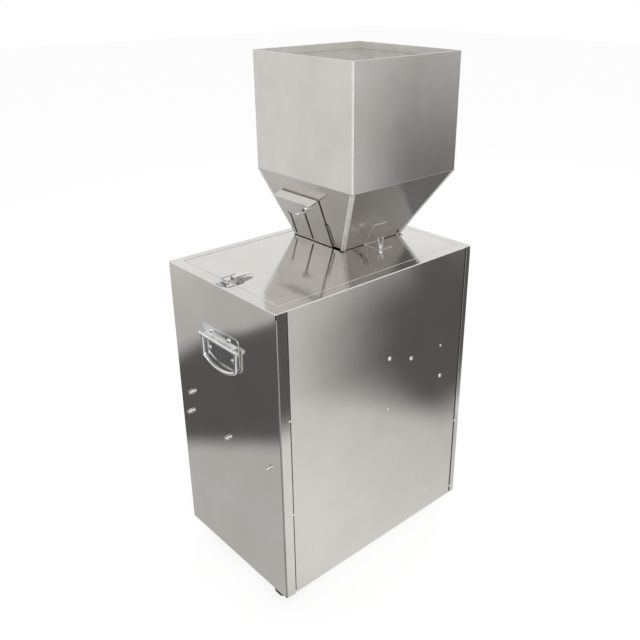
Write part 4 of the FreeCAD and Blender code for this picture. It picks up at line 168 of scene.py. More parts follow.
def worked_metal(name, light, dark, roughness, grain_mm, grain_depth, wave_mm, wave_depth, patch_mm=140.0,
                 spread=0.05):
    """A bare metal with its grain and the slow waves of the sheet."""
    return finished(name, (light, dark), (patch_mm, 0.55), (roughness - spread, roughness + spread), grain_mm,
                    grain_depth, {"Metallic": 1.0}, (wave_mm, wave_depth))


def moulded(name, light, dark, roughness, grain_mm, grain_depth, patch_mm=30.0, specular=0.5, metallic=0.0):
    """A moulded, sprayed or ground surface that scatters more than it mirrors."""
    return finished(name, (light, dark), (patch_mm, 0.6), (roughness - 0.05, roughness + 0.07), grain_mm,
                    grain_depth, {"Metallic": metallic, "Specular IOR Level": specular})


# Each finish is made when a piece first asks for it.

def cabinet_steel():
    """Stainless sheet, cold rolled 2B: a grey half mirror with upright rolling streaks and slow waves."""
    return worked_metal("stainless_2b_sheet_upright", "#D0CDC8", "#CBC7C1", 0.1, (0.9, 0.9, 60.0), 0.0008,
                        210.0, 0.12, spread=0.03)


def lid_steel():
    """Stainless sheet rolled along the machine: the lid and rim, a little brighter, streaks lengthwise."""
    return worked_metal("stainless_2b_sheet_lengthwise", "#D8D6D2", "#D2CFCA", 0.11, (60.0, 0.9, 0.9), 0.001,
                        240.0, 0.1)


def hopper_steel():
    """Stainless sheet of the hopper: the same half mirror with faint brownish smudges from handling."""
    return worked_metal("stainless_2b_sheet_hopper", "#D6D3CF", "#D0CBC6", 0.16, (1.1, 1.1, 70.0), 0.0005,
                        150.0, 0.14, patch_mm=110.0, spread=0.025)


def hopper_lining():
    """The hopper's inner faces: the same sheet scoured dull by the product, so that it scatters the light."""
    return moulded("stainless_hopper_scoured", "#F0EEEA", "#E2DFDA", 0.42, 0.9, 0.01, 60.0, 0.5, 0.05)


def hidden_steel():
    """Stainless sheet inside the cabinet: duller, because nobody polished it."""
    return worked_metal("stainless_sheet_inside", "#BDBAB4", "#AFABA4", 0.28, (1.0, 1.0, 30.0), 0.002,
                        150.0, 0.1)


def weld_steel():
    """Ground stainless weld: rougher than the sheet, with cross scratches, and lighter than the sheet by a
    painted highlight.
    """
    return moulded("stainless_weld_ground_painted_highlight", "#FBFAF6", "#F0ECE4", 0.36, 1.4, 0.03, 14.0, 0.9, 0.1)


def satin_steel():
    """Pale satin stainless, a painted highlight on the upward faces of the gate's grip: it scatters more than it
    mirrors, so it stays pale.
    """
    return moulded("stainless_satin_painted_highlight", "#F4F2EE", "#EAE7E1", 0.36, 1.1, 0.02, 14.0, 0.5, 0.12)


def wheel_core():
    """Grey polypropylene of the wheel's disc: satin, moulded."""
    return moulded("wheel_disc_polypropylene", "#8A8C8E", "#7F8183", 0.4, 0.9, 0.02, 12.0)


def scuffed_fold():
    """Painted highlight on the eased edges and rounded folds of a stainless sheet: a thin pale line along each
    fold.
    """
    return moulded("stainless_edge_painted_highlight", "#FFFFFD", "#F8F6F2", 0.3, 1.4, 0.01, 9.0, 1.0)


def dull_fold():
    """Folded corner of an end sheet: rougher than the flat, and darker as painted shade."""
    return worked_metal("stainless_fold_painted_shade", "#9C9994", "#8E8B86", 0.26, (1.4, 1.4, 60.0), 0.002, 60.0, 0.02)


def cut_edge():
    """Painted shade on the side faces of the gate and its guides: a dark, dull finish that stands for the shadow
    lines along their edges.
    """
    return moulded("stainless_edge_painted_shade", "#4A443C", "#5A534A", 0.5, 0.8, 0.02, 9.0, 0.4, 0.2)


def seam_grime():
    """Painted shade for the seam beside the corner flange: a nearly black, dull strip that stands for the shadow
    in the gap.
    """
    return moulded("seam_painted_shade_dark", "#2A2724", "#35312C", 0.7, 0.9, 0.05, 16.0, 0.25)


def bright_chrome():
    """Chrome plate on steel: almost a mirror with a cold blue tint."""
    return worked_metal("chrome_plate", "#E4E4E2", "#D2D3D3", 0.06, (1.5, 1.5, 1.5), 0.0008, 40.0, 0.012,
                        patch_mm=40.0, spread=0.02)


def zinc_plate():
    """Zinc plate, passivated: satin, bluish grey with a yellow cast in patches."""
    return worked_metal("zinc_plate_passivated", "#C3C8CC", "#BCBDB8", 0.3, (1.2, 1.2, 1.2), 0.004,
                        40.0, 0.02, patch_mm=18.0, spread=0.07)


def turned_steel():
    """Turned bright steel of the plunger: fine rings of a lathe tool."""
    return worked_metal("turned_bright_steel", "#C8C9CA", "#BBBCBE", 0.2, (8.0, 8.0, 0.7), 0.003, 30.0, 0.01)


def mill_aluminium():
    """Milled aluminium, clear anodised: pale grey and satin."""
    return worked_metal("aluminium_clear_anodised", "#D5D6D6", "#CBCCCD", 0.33, (1.6, 1.6, 1.6), 0.003,
                        40.0, 0.01, patch_mm=40.0)


def enamelled_wire():
    """Enamelled copper wire, wound: reddish brown and glossy."""
    return worked_metal("copper_wire_enamelled", "#B4693C", "#96512B", 0.24, (2.0, 2.0, 0.8), 0.01, 20.0, 0.01,
                        patch_mm=12.0)


def grey_enamel():
    """Grey hammered enamel on the castings: soft gloss over small dimples."""
    return moulded("grey_hammer_enamel", "#7E8387", "#74797D", 0.34, 3.0, 0.06, 22.0)


def black_moulding():
    """Black ABS, spark-textured in the mould: a fine dull grain."""
    return moulded("black_abs_textured", "#1B1C1E", "#232426", 0.45, 0.7, 0.03)


def red_moulding():
    """Red polycarbonate of the rocker: glossy."""
    return moulded("red_polycarbonate", "#B5201C", "#A61B18", 0.22, 1.2, 0.006)


def button_moulding():
    """Grey-blue ABS of the keys: satin."""
    return moulded("key_abs_satin", "#3E6C9E", "#386391", 0.36, 0.8, 0.015)


def tyre_rubber():
    """Grey thermoplastic rubber of the wheels: dull, with dust in patches."""
    return moulded("wheel_rubber_dusty", "#3A3B3D", "#4A4A4A", 0.7, 1.0, 0.05, 12.0, 0.3)


def mount_rubber():
    """Black natural rubber of the feeder's feet: dull."""
    return moulded("mount_rubber_black", "#202021", "#2A2A2A", 0.65, 1.0, 0.04, 10.0, 0.3)


def circuit_resin():
    """Epoxy glass board under green solder resist."""
    return moulded("circuit_board_green", "#1F6B3C", "#1A5C34", 0.3, 0.9, 0.01, 9.0)


def white_print():
    """White screen-printed ink."""
    return moulded("white_screen_print", "#E9E9E4", "#DFDFD9", 0.5, 0.6, 0.004)


def smoked_window():
    """Smoked acrylic over the digits: dark red, glossy, a little see-through."""
    def build(tree):
        haze = noise(tree, 25.0)
        return add(tree, "ShaderNodeBsdfPrincipled", {
            "Base Color": mixed(tree, haze, "#5A2A28", "#4C2422"),
            "Roughness": ramp(tree, haze, 0.3, 0.7, 0.04, 0.1),
            "IOR": 1.49,
            "Transmission Weight": 0.85,
        })
    return made_once("smoked_acrylic", build)


def lit_segment():
    """Lit red segments of the digits, a little uneven from one end of a bar to the other."""
    def build(tree):
        colour = mixed(tree, noise(tree, 3.0), "#FF3A22", "#E02412")
        return add(tree, "ShaderNodeEmission", {"Color": colour, "Strength": 2.2})
    return made_once("led_segment_red", build)


# Shapes

def placed(name, data):
    """An object with this data, in the scene."""
    item = bpy.data.objects.new(name, data)
    bpy.context.scene.collection.objects.link(item)
    return item


def make_piece(name, body, slot, finish, points_mm, faces, nodes=(), sharp=35.0):
    """A mesh object from points in millimetres about the cabinet's middle. Doubles are merged, the faces of
    a closed shape turn outwards, and edges over the sharp angle stay crisp."""
    mesh = bpy.data.meshes.new(name)
    mesh.from_pydata((np.asarray(points_mm).reshape(-1, 3) * MM + HOME).tolist(), [], faces)
    return dress(mesh, name, body, finish, nodes, sharp, True)


def dress(mesh, name, body, finish, nodes, sharp, turn):
    """Cleans a mesh, gives it its finish, and puts it on its body."""
    work = bmesh.new()
    work.from_mesh(mesh)
    bmesh.ops.remove_doubles(work, verts=work.verts, dist=1e-6)
    if turn:
        bmesh.ops.recalc_face_normals(work, faces=work.faces)
    work.to_mesh(mesh)
    work.free()
    mesh.shade_smooth()
    mesh.set_sharp_from_angle(angle=math.radians(sharp))
    mesh.materials.clear()
    mesh.materials.append(finish())
    piece = placed(name, mesh)
    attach(piece, body)
    if nodes:
        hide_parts(*nodes)
    return piece


def grid_faces(rows, columns, wrap=True):
    """Quads between rows of points, each row closed round where wrap is set."""
    last = columns if wrap else columns - 1
    row, column = np.meshgrid(np.arange(rows - 1), np.arange(last), indexing="ij")
    following = (column + 1) % columns
    quads = np.stack([row * columns + column, row * columns + following,
                      (row + 1) * columns + following, (row + 1) * columns + column], axis=-1)
    return quads.reshape(-1, 4).tolist()


def closed_faces(rows, columns):
    """Quads of a tube plus a face over each end."""
    ends = [list(range(columns))[::-1], list(range((rows - 1) * columns, rows * columns))]
    return grid_faces(rows, columns) + ends


def axis_frame(axis):
    """Two unit directions square to an axis."""
    axis = np.asarray(axis, float) / np.linalg.norm(axis)
    helper = np.array([0.0, 0.0, 1.0]) if abs(axis[2]) < 0.9 else np.array([1.0, 0.0, 0.0])
    first = np.cross(helper, axis)
    first /= np.linalg.norm(first)
    return axis, first, np.cross(axis, first)


def turned(profile, centre, axis, steps=48, flute=None):
    """A lathe shape: point = centre + h * axis + r * (cos a, sin a), for each (r, h) of the profile and each
    angle a. flute(a, k) scales r at profile point k."""
    axis, first, second = axis_frame(axis)
    angle = np.linspace(0, 2 * np.pi, steps, endpoint=False)
    radius = np.array([r for r, _ in profile], float)[:, None] * np.ones(steps)[None]
    if flute is not None:
        radius = radius * flute(angle[None], np.arange(len(profile))[:, None])
    height = np.array([h for _, h in profile], float)[:, None, None]
    points = (np.asarray(centre, float) + height * axis
              + (radius * np.cos(angle))[..., None] * first + (radius * np.sin(angle))[..., None] * second)
    return points.reshape(-1, 3), closed_faces(len(profile), steps)


def joined(shapes):
    """Several (points, faces) as one."""
    points, faces, start = [], [], 0
    for some, quads in shapes:
        points.append(np.asarray(some, float).reshape(-1, 3))
        faces += [[start + i for i in quad] for quad in quads]
        start += len(points[-1])
    return np.concatenate(points), faces


def ringed(profile, centre, axis, steps):
    """A lathe shape whose profile closes on itself round a bore: a ring with no end faces."""
    points, _ = turned(list(profile) + [profile[0]], centre, axis, steps)
    return points, grid_faces(len(profile) + 1, steps)


def dome_profile(radius, height, start, steps):
    """The lathe profile of a low dome: r = radius * cos t and h = height * sin t, from t = start to its top."""
    return [(radius * math.cos(t), height * math.sin(t)) for t in np.linspace(start, np.pi / 2 - 0.03, steps)]


def carried(section, path, side, up):
    """A section carried along a path: point = path + u * side + v * up, for each (u, v) of the section."""
    path = np.asarray(path, float)[:, None]
    section = np.asarray(section, float)
    points = path + section[:, :1] * np.asarray(side, float) + section[:, 1:] * np.asarray(up, float)
    return points.reshape(-1, 3), closed_faces(len(path), len(section))


def mesh_points(mesh):
    """A mesh's points, in millimetres about the cabinet's middle."""
    points = np.empty(len(mesh.vertices) * 3)
    mesh.vertices.foreach_get("co", points)
    return home_mm(points.reshape(-1, 3))


def face_places(mesh):
    """Each face's centre in millimetres about the cabinet's middle, and its normal."""
    places, normals = np.empty(len(mesh.polygons) * 3), np.empty(len(mesh.polygons) * 3)
    mesh.polygons.foreach_get("center", places)
    mesh.polygons.foreach_get("normal", normals)
    return home_mm(places.reshape(-1, 3)), normals.reshape(-1, 3)


def finished_apart(mesh, *choices):
    """Gives faces other finishes. Each choice is a finish and which faces get it."""
    index = np.zeros(len(mesh.polygons), np.int32)
    for finish, chosen in choices:
        mesh.materials.append(finish())
        index[chosen] = len(mesh.materials) - 1
    mesh.polygons.foreach_set("material_index", index)


def on_upright_folds(normals):
    """Which faces lie on a sheet's rounded upright folds, where the normal looks between two sides."""
    between = np.minimum(np.abs(normals[:, 0]), np.abs(normals[:, 1])) > 0.1
    return between & (np.abs(normals[:, 2]) < 0.1)


def lined(mesh):
    """Gives the faces of the hopper's shell that look at its own upright axis the lining's finish, and its
    rounded upright folds the pale finish of a painted highlight."""
    places, normals = face_places(mesh)
    points = mesh_points(mesh)
    away = places - (points.min(axis=0) + points.max(axis=0)) / 2
    inside = (away * normals)[:, :2].sum(axis=1) < -1.0
    finished_apart(mesh, (hopper_lining, inside), (scuffed_fold, on_upright_folds(normals) & ~inside))


FOLD_RADIUS = 1.2
FOLD_SLACK = 0.3


def upright_folds(low, high):
    """The four outer upright edges of a box in millimetres, each as a thin box."""
    return [(np.array([x, y, low[2]]) - FOLD_SLACK, np.array([x, y, high[2]]) + FOLD_SLACK)
            for x in (low[0], high[0]) for y in (low[1], high[1])]


def top_folds(low, high):
    """The four outer edges of a box's top in millimetres, each as a thin box."""
    folds = []
    for axis in (0, 1):
        for side in (low, high):
            start, end = np.array([low[0], low[1], high[2]]), np.array(high)
            start[axis] = end[axis] = side[axis]
            folds.append((start - FOLD_SLACK, end + FOLD_SLACK))
    return folds


def fold_shares(work, folds, edge, sharp):
    """Each edge's share of the bevel: the whole radius where it lies in one of the folds' thin boxes, edge
    millimetres on other sharp edges, nothing on flat ones."""
    share = work.edges.layers.float.new("bevel_weight_edge")
    for line in work.edges:
        if len(line.link_faces) != 2 or line.calc_face_angle() < math.radians(sharp):
            continue
        ends = [home_mm(point.co) for point in line.verts]
        on_fold = any(all(np.all(end >= low) and np.all(end <= high) for end in ends) for low, high in folds)
        line[share] = 1.0 if on_fold else edge / FOLD_RADIUS


def softened(node, piece, slot, finish, edge, sharp=32.0, reshape=None, folds=(), edge_finish=None):
    """A copy of a CAD node with its edges eased by edge millimetres, so that they catch the light, and its
    folds by their radius. reshape takes and gives points in millimetres. edge_finish is for the eased edges."""
    mesh = frame["nodes"][node].data.copy()
    mesh.name = piece
    work = bmesh.new()
    work.from_mesh(mesh)
    bmesh.ops.remove_doubles(work, verts=work.verts, dist=2e-6)
    bmesh.ops.dissolve_degenerate(work, edges=work.edges, dist=1e-6)
    bmesh.ops.dissolve_limit(work, angle_limit=math.radians(0.6), verts=work.verts, edges=work.edges)
    if folds:
        fold_shares(work, folds, edge, sharp)
    work.to_mesh(mesh)
    work.free()
    if reshape is not None:
        mesh.vertices.foreach_set("co", (reshape(mesh_points(mesh)) * MM + HOME).ravel())
    body = frame["nodes"][node]["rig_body"]
    made = dress(mesh, piece, body, finish, (node,), sharp, False)
    if edge:
        ease = made.modifiers.new("eased_edges", "BEVEL")
        ease.width = (FOLD_RADIUS if folds else edge) * MM
        ease.segments = 3 if folds else 2
        ease.limit_method = "WEIGHT" if folds else "ANGLE"
        ease.angle_limit = math.radians(sharp)
        ease.use_clamp_overlap = False
        if edge_finish is not None:
            mesh.materials.append(edge_finish())
            ease.material = len(mesh.materials) - 1
    level = made.modifiers.new("flat_faces_stay_flat", "WEIGHTED_NORMAL")
    level.keep_sharp = True
    level.weight = 100
    return made


# The latch lever's tip: where it starts to bend along x, over which length, and how far it comes down.
LEVER_BEND = 217.0
LEVER_RUN = 19.0
LEVER_DROP = 7.5


def lowered_tip(points):
    """The latch lever's tip lies lower: z falls by the drop times a smooth step along x."""
    points = points.copy()
    points[:, 2] -= LEVER_DROP * smooth(LEVER_BEND - points[:, 0], 0, LEVER_RUN)
    return points


# The free edges of the end sheets' flanges on the back, the width of the painted shade strip in the seam beside
# them, and how far they sprang.
POST_RIGHT_EDGE = 262.5
POST_LEFT_EDGE = -270.5
SEAM_WIDTH = 3.6
FLANGE_START = HALF_X - 0.5
FLANGE_SPRING = math.radians(4.5)


def sprung_flanges(points):
    """The end sheets' flanges on the back have sprung open a little: y grows by (start - |x|) * tan(spring)
    over the flange, and its free edge stands proud of the back sheet."""
    points = points.copy()
    on_back = (points[:, 1] > HALF_Y - 1.0) & (np.abs(points[:, 0]) < FLANGE_START)
    reach = FLANGE_START - np.abs(points[:, 0])
    points[:, 1] += np.where(on_back, reach * math.tan(FLANGE_SPRING), 0.0)
    return points


BIN_LOW, BIN_HIGH = box_mm("hopper_bin")
THROAT = {"left": -220.2, "right": -37.0, "front": -148.2, "back": 23.2}
LID_TOP = RIGHT_HIGH.z / MM
CONE_TOP = 916.4
GATE_LEAN = math.atan((BIN_HIGH[0] - THROAT["right"]) / (CONE_TOP - LID_TOP))
GRIP_START = 4.0
GRIP_FACES = 7.0


def out_of_cone(points):
    """How far points stand out from the cone's sloping face under the gate."""
    return ((points[:, 0] - THROAT["right"]) * math.cos(GATE_LEAN)
            - (points[:, 2] - LID_TOP) * math.sin(GATE_LEAN))


def flared_grip(points):
    """The gate's bent grip reaches a quarter further, and z falls by 0.35 of its reach."""
    points = points.copy()
    reach = np.maximum(out_of_cone(points) - GRIP_START, 0.0)
    points[:, 0] += 0.25 * reach * math.cos(GATE_LEAN)
    points[:, 2] -= 0.35 * reach * math.sin(GATE_LEAN)
    return points


# A corner weld's section, its legs reaching along both sheets, and the share of the corner that it runs.
WELD_REACH = 8.0
WELD_RUN = 0.985
WELD_SECTION = [(WELD_REACH, 0.0), (WELD_REACH - 0.8, -0.4), (3.2, -0.45), (0.6, -0.45), (-0.08, -0.34),
                (-0.34, -0.08), (-0.45, 0.6), (-0.45, 3.2), (-0.4, WELD_REACH - 0.8), (0.0, WELD_REACH),
                (0.4, WELD_REACH - 0.3), (0.5, 3.4), (1.3, 1.3), (3.4, 0.5), (WELD_REACH - 0.3, 0.4)]
BEAD_INSET = 1.3


def weld_bead(start, end, radius=0.9, pitch=3.2):
    """A ripple weld: point = start + s * along + r * (cos a * first + sin a * second), where r grows and
    shrinks by a fifth over each pitch of the length s."""
    start, end = np.asarray(start, float), np.asarray(end, float)
    length = np.linalg.norm(end - start)
    rows = int(length / pitch * 4)
    share = np.linspace(0, 1, rows)
    along, first, second = axis_frame(end - start)
    angle = np.linspace(0, 2 * np.pi, 8, endpoint=False)
    size = radius * (1 + 0.2 * np.sin(2 * np.pi * share * length / pitch))
    ring = np.cos(angle)[:, None] * first + np.sin(angle)[:, None] * second
    points = (start + share[:, None] * (end - start))[:, None] + size[:, None, None] * ring[None]
    return points.reshape(-1, 3), closed_faces(rows, 8)


def weld_seams():
    """The ground welds down the cone's four corners and the bead where the cone joins the bin. A corner's
    weld is an angle section carried from the throat's corner to the bin's, its two legs along the sheets."""
    strips = []
    for throat_x, bin_x, inward_x in (("left", BIN_LOW[0], 1), ("right", BIN_HIGH[0], -1)):
        for throat_y, bin_y, inward_y in (("front", BIN_LOW[1], 1), ("back", BIN_HIGH[1], -1)):
            foot = np.array([THROAT[throat_x], THROAT[throat_y], LID_TOP + 1.5])
            head = foot + (np.array([bin_x, bin_y, CONE_TOP]) - foot) * WELD_RUN
            strips.append(carried(WELD_SECTION, [foot, head], (0, inward_y, 0), (inward_x, 0, 0)))
    # The near-white colour of these real ground welds is a painted highlight.
    make_piece("cone_corner_welds", "hopper", "sheet", weld_steel, *joined(strips), sharp=50)
    low, high = BIN_LOW + BEAD_INSET, BIN_HIGH - BEAD_INSET
    corners = [(low[0], low[1]), (high[0], low[1]), (high[0], high[1]), (low[0], high[1])]
    beads = [weld_bead((*start, CONE_TOP), (*end, CONE_TOP))
             for start, end in zip(corners, corners[1:] + corners[:1])]
    make_piece("bin_seam_bead", "hopper", "sheet", weld_steel, *joined(beads), sharp=60)


LID_LOW, LID_HIGH = box_mm("lid")
LID_CLEARANCE = 0.7


def cut_short(points):
    """The lid's outline drawn in by its clearance, so that the seam round it shows dark."""
    points = points.copy()
    for axis in (0, 1):
        for side, inward in ((LID_LOW, 1), (LID_HIGH, -1)):
            on_edge = (np.abs(points[:, axis] - side[axis]) < 0.05) & (points[:, 2] > LID_TOP - 2.2)
            points[:, axis] += np.where(on_edge, inward * LID_CLEARANCE, 0.0)
    return points


SEAM_TACKS = ((POST_RIGHT_EDGE, 512.0), (POST_RIGHT_EDGE, 277.0), (POST_RIGHT_EDGE, 62.0),
              (POST_LEFT_EDGE, 283.0), (POST_LEFT_EDGE, 77.0))


def corner_seams():
    """A painted shade beside the back's two corner flanges, a flat nearly black strip carried up the seam where
    the gap lies in
    shadow, and the tack welds over it: each a dome drawn out along the seam by its flute, r = R (1 + 0.35 cos 2a
    + 0.06 sin(5a + row))."""
    # The strip is painted shade: it stands for the shadow in the gap beside each flange.
    section = [(0.3, -0.1), (SEAM_WIDTH, -0.1), (SEAM_WIDTH, 0.12), (0.3, 0.12)]
    strips = [carried(section, [(edge, HALF_Y, 60.0), (edge, HALF_Y, 752.5)], (inward, 0, 0), (0, 1, 0))
              for edge, inward in ((POST_RIGHT_EDGE, -1), (POST_LEFT_EDGE, 1))]
    make_piece("back_seam_painted_shade", "cabinet", "sheet", seam_grime, *joined(strips))
    beads = [turned(dome_profile(3.0, 2.1, -0.35, 7), (edge, HALF_Y + 1.0, z), (0, 1, 0), 20,
                    lambda angle, row: 1 + 0.35 * np.cos(2 * angle) + 0.06 * np.sin(5 * angle + row))
             for edge, z in SEAM_TACKS]
    make_piece("back_seam_tack_welds", "cabinet", "sheet", weld_steel, *joined(beads), sharp=60)


# Half of the wheel's section, from its bore out and over to the middle of the tread; the rest mirrors it.
WHEEL_HALF = [(3.56, 10.6), (8.2, 10.6), (9.0, 9.8), (9.2, 7.4), (11.0, 6.9), (17.6, 6.9), (18.9, 7.3),
              (19.3, 9.2), (20.2, 10.0), (22.4, 9.8), (24.2, 8.6), (24.98, 6.4), (24.98, 3.6), (24.3, 3.2),
              (24.3, 2.6), (24.98, 2.2)]
DISC_RADIUS = 20.4


def wheels():
    """The four wheels: a ring turned round the axle from its section, with two grooves in the tread and a disc
    drawn in between hub and tyre."""
    section = [(radius, -height) for radius, height in WHEEL_HALF] + WHEEL_HALF[::-1]
    for corner in ("back_right", "back_left", "front_right", "front_left"):
        joint = JOINTS["wheel_" + corner + "_roll"]
        axle = home_mm(joint["pos_m"])
        points, faces = ringed(section, axle, joint["axis"], 72)
        mesh = make_piece("caster_wheel_moulded_" + corner, "wheel_" + corner, "rubber", tyre_rubber, points,
                          faces, ("caster_wheel_" + corner,), sharp=40).data
        away = np.linalg.norm(face_places(mesh)[0] - axle, axis=1)
        finished_apart(mesh, (wheel_core, away < DISC_RADIUS))


RIVETS = ((32.5, 642.0), (-32.5, 642.0), (43.5, 598.5), (-43.5, 598.5))
RIVET_SEAT = 290.7
HANDLE_MIDDLE = -2.0


def rivet_heads():
    """A low dome on each rivet of the two handle plates."""
    domes = [turned(dome_profile(4.7, 1.5, -0.4, 8), (side * RIVET_SEAT, HANDLE_MIDDLE + y, z), (side, 0, 0), 28)
             for side in (1, -1) for y, z in RIVETS]
    make_piece("handle_rivet_domes", "cabinet", "chrome", bright_chrome, *joined(domes), sharp=50)


# The control plate's face, and the middles of the things on it.
PLATE_FACE = -HALF_Y - 3.0
KNOB_AT = (-30.0, 556.0)
ROCKER_AT = (-26.0, 622.0)
WINDOW_AT = (-140.0, 622.0)


def on_plate(points, x, z, rise=0.0):
    """Flat points (u, v, w) laid on the control plate: u along +X, v up, w out of the plate."""
    points = np.asarray(points, float)
    return np.stack([x + points[:, 0], PLATE_FACE - rise - points[:, 2], z + points[:, 1]], axis=-1)


def slab(outline, thickness):
    """A flat outline given a thickness: the outline at w = 0 and again at w = thickness."""
    outline = np.asarray(outline, float)
    rings = [np.column_stack([outline, np.full(len(outline), w)]) for w in (0.0, thickness)]
    return np.concatenate(rings), closed_faces(2, len(outline))


def letters(word, size):
    """Generic characters as a mesh in millimetres, set about the middle of the word."""
    line = bpy.data.curves.new("plate_print", "FONT")
    line.body, line.size, line.extrude, line.resolution_u = word, size, PRINT_RISE / 2, 3
    line.align_x, line.align_y = "CENTER", "CENTER"
    holder = placed("plate_print", line)
    mesh = bpy.data.meshes.new_from_object(holder)
    points = np.array([tuple(vertex.co) for vertex in mesh.vertices])
    faces = [list(face.vertices) for face in mesh.polygons]
    bpy.data.objects.remove(holder)
    bpy.data.curves.remove(line)
    bpy.data.meshes.remove(mesh)
    return points, faces


def turned_flat(points, angle):
    """Flat points turned by an angle about w."""
    turn = np.array([[math.cos(angle), math.sin(angle), 0], [-math.sin(angle), math.cos(angle), 0], [0, 0, 1]])
    return np.asarray(points, float) @ turn


def block(half_u, low_v, high_v, thickness):
    """An upright bar with square corners."""
    return slab([(-half_u, low_v), (half_u, low_v), (half_u, high_v), (-half_u, high_v)], thickness)


# The print's thickness, the dial's first tick and step in degrees, how far its numbers stand from its middle,
# and how far the rocker's marks stand beside it.
PRINT_RISE = 0.12
DIAL_START = -150
DIAL_STEP = 30
NUMBERS_AWAY = 25.4
MARKS_BESIDE = 15.5


def plate_print():
    """The marks printed on the control plate: a dial of eleven ticks and its numbers round the knob, and the
    bar and ring of the rocker. A tick is a slab turned to its bearing; the ring is a lathe band."""
    shapes = []
    for number in range(11):
        bearing = math.radians(DIAL_START + DIAL_STEP * number)
        tick, faces = block(0.35, 19.2, 21.6, PRINT_RISE)
        shapes.append((on_plate(turned_flat(tick, -bearing), *KNOB_AT), faces))
        if number % 2 == 0:
            points, faces = letters(str(number), 4.6)
            x = KNOB_AT[0] + NUMBERS_AWAY * math.sin(bearing)
            z = KNOB_AT[1] + NUMBERS_AWAY * math.cos(bearing)
            shapes.append((on_plate(points, x, z, PRINT_RISE / 2), faces))
    band_section = [(2.2, 0.0), (3.2, 0.0), (3.2, PRINT_RISE), (2.2, PRINT_RISE)]
    for (points, faces), over in ((block(0.6, -3.0, 3.0, PRINT_RISE), 8.0),
                                  (ringed(band_section, (0, 0, 0), (0, 0, 1), 28), -8.0)):
        shapes.append((on_plate(points, ROCKER_AT[0] + MARKS_BESIDE, ROCKER_AT[1] + over), faces))
    make_piece("control_plate_print", "cabinet", "black_plastic", black_moulding, *joined(shapes), sharp=30)


# A digit's bars by letter, each bar's middle and turn in degrees, and how the digits stand behind the window.
SEGMENTS = {"0": "abcdef", "2": "abged", "5": "afgcd"}
SEGMENT_PLACES = {"a": (0, 9, 0), "b": (4.6, 4.5, 90), "c": (4.6, -4.5, 90), "d": (0, -9, 0),
                  "e": (-4.6, -4.5, 90), "f": (-4.6, 4.5, 90), "g": (0, 0, 0)}
DIGIT_RISE = -3.3
DIGIT_FIRST = -44
DIGIT_STEP = 18
DIGIT_LEAN = 0.12
DIGIT_THICKNESS = 0.5


def digits():
    """Lit seven-segment digits behind the window: each segment a slab with pointed ends, upright ones turned a
    quarter, all leaning by u + lean * v."""
    bar = [(-3.9, 0.0), (-3.0, 0.85), (3.0, 0.85), (3.9, 0.0), (3.0, -0.85), (-3.0, -0.85)]
    shapes = []
    for place, figure in enumerate("250.0"):
        marks = [block(0.9, -9.9, -8.1, DIGIT_THICKNESS)] if figure == "." else []
        for u, v, angle in (SEGMENT_PLACES[name] for name in SEGMENTS.get(figure, "")):
            points, faces = slab(bar, DIGIT_THICKNESS)
            points = turned_flat(points, math.radians(angle)) + np.array([u, v, 0])
            points[:, 0] += DIGIT_LEAN * points[:, 1]
            marks.append((points, faces))
        x = WINDOW_AT[0] + DIGIT_FIRST + DIGIT_STEP * place
        shapes += [(on_plate(points, x, WINDOW_AT[1], DIGIT_RISE), faces) for points, faces in marks]
    make_piece("display_digits", "cabinet", "red_plastic", lit_segment, *joined(shapes), sharp=30)


def key_caps():
    """The three keys: a lathe shape with a dished top, its collar behind the plate and its stem."""
    for number in ("1", "2", "3"):
        low, high = box_mm("push_button_" + number)
        centre = ((low[0] + high[0]) / 2, PLATE_FACE, (low[2] + high[2]) / 2)
        top, end = PLATE_FACE - low[1], PLATE_FACE - high[1]
        profile = [(0.04, top - 0.8), (2.0, top - 0.75), (4.4, top - 0.5), (6.4, top - 0.1), (7.3, top),
                   (8.2, top - 0.2), (8.8, top - 0.9), (9.0, top - 1.8), (9.0, -3.2), (11.5, -3.2), (11.5, -5.2),
                   (3.0, -5.2), (3.0, end), (0.04, end)]
        make_piece("push_key_" + number, "button_" + number, "button_plastic", button_moulding,
                   *turned(profile, centre, (0, -1, 0), 56), nodes=("push_button_" + number,), sharp=50)


def knob():
    """The rate knob: a lathe shape with a skirt and a dished face, whose waist, four points of the profile, is
    fluted by r = R (1 - 0.06 cos(6a)^4), and a pointer bar along its face at the dial's first tick."""
    low, high = box_mm("speed_knob")
    top, end = PLATE_FACE - low[1], PLATE_FACE - high[1]
    profile = [(0.04, end), (3.0, end), (3.0, 0.4), (16.2, 0.4), (17.0, 1.0), (17.0, 2.6), (16.4, 3.2),
               (15.2, 3.6), (15.1, 4.6), (14.9, 8.0), (14.5, 12.0), (14.1, top - 2.0), (13.2, top - 0.7),
               (11.6, top), (9.6, top), (8.6, top - 0.6), (0.04, top - 0.8)]
    points, faces = turned(profile, (KNOB_AT[0], PLATE_FACE, KNOB_AT[1]), (0, -1, 0), 144,
                           lambda angle, row: np.where((row > 7) & (row < 12),
                                                       1 - 0.06 * np.cos(6 * angle) ** 4, 1.0))
    make_piece("speed_knob_fluted", "knob", "black_plastic", black_moulding, points, faces,
               nodes=("speed_knob",), sharp=40)
    bar, faces = slab([(-0.7, 2.0), (0.7, 2.0), (0.7, 11.2), (0.0, 12.2), (-0.7, 11.2)], 0.5)
    make_piece("speed_knob_pointer", "knob", "black_plastic", white_print,
               on_plate(turned_flat(bar, -math.radians(DIAL_START)), *KNOB_AT, top - 0.7), faces)


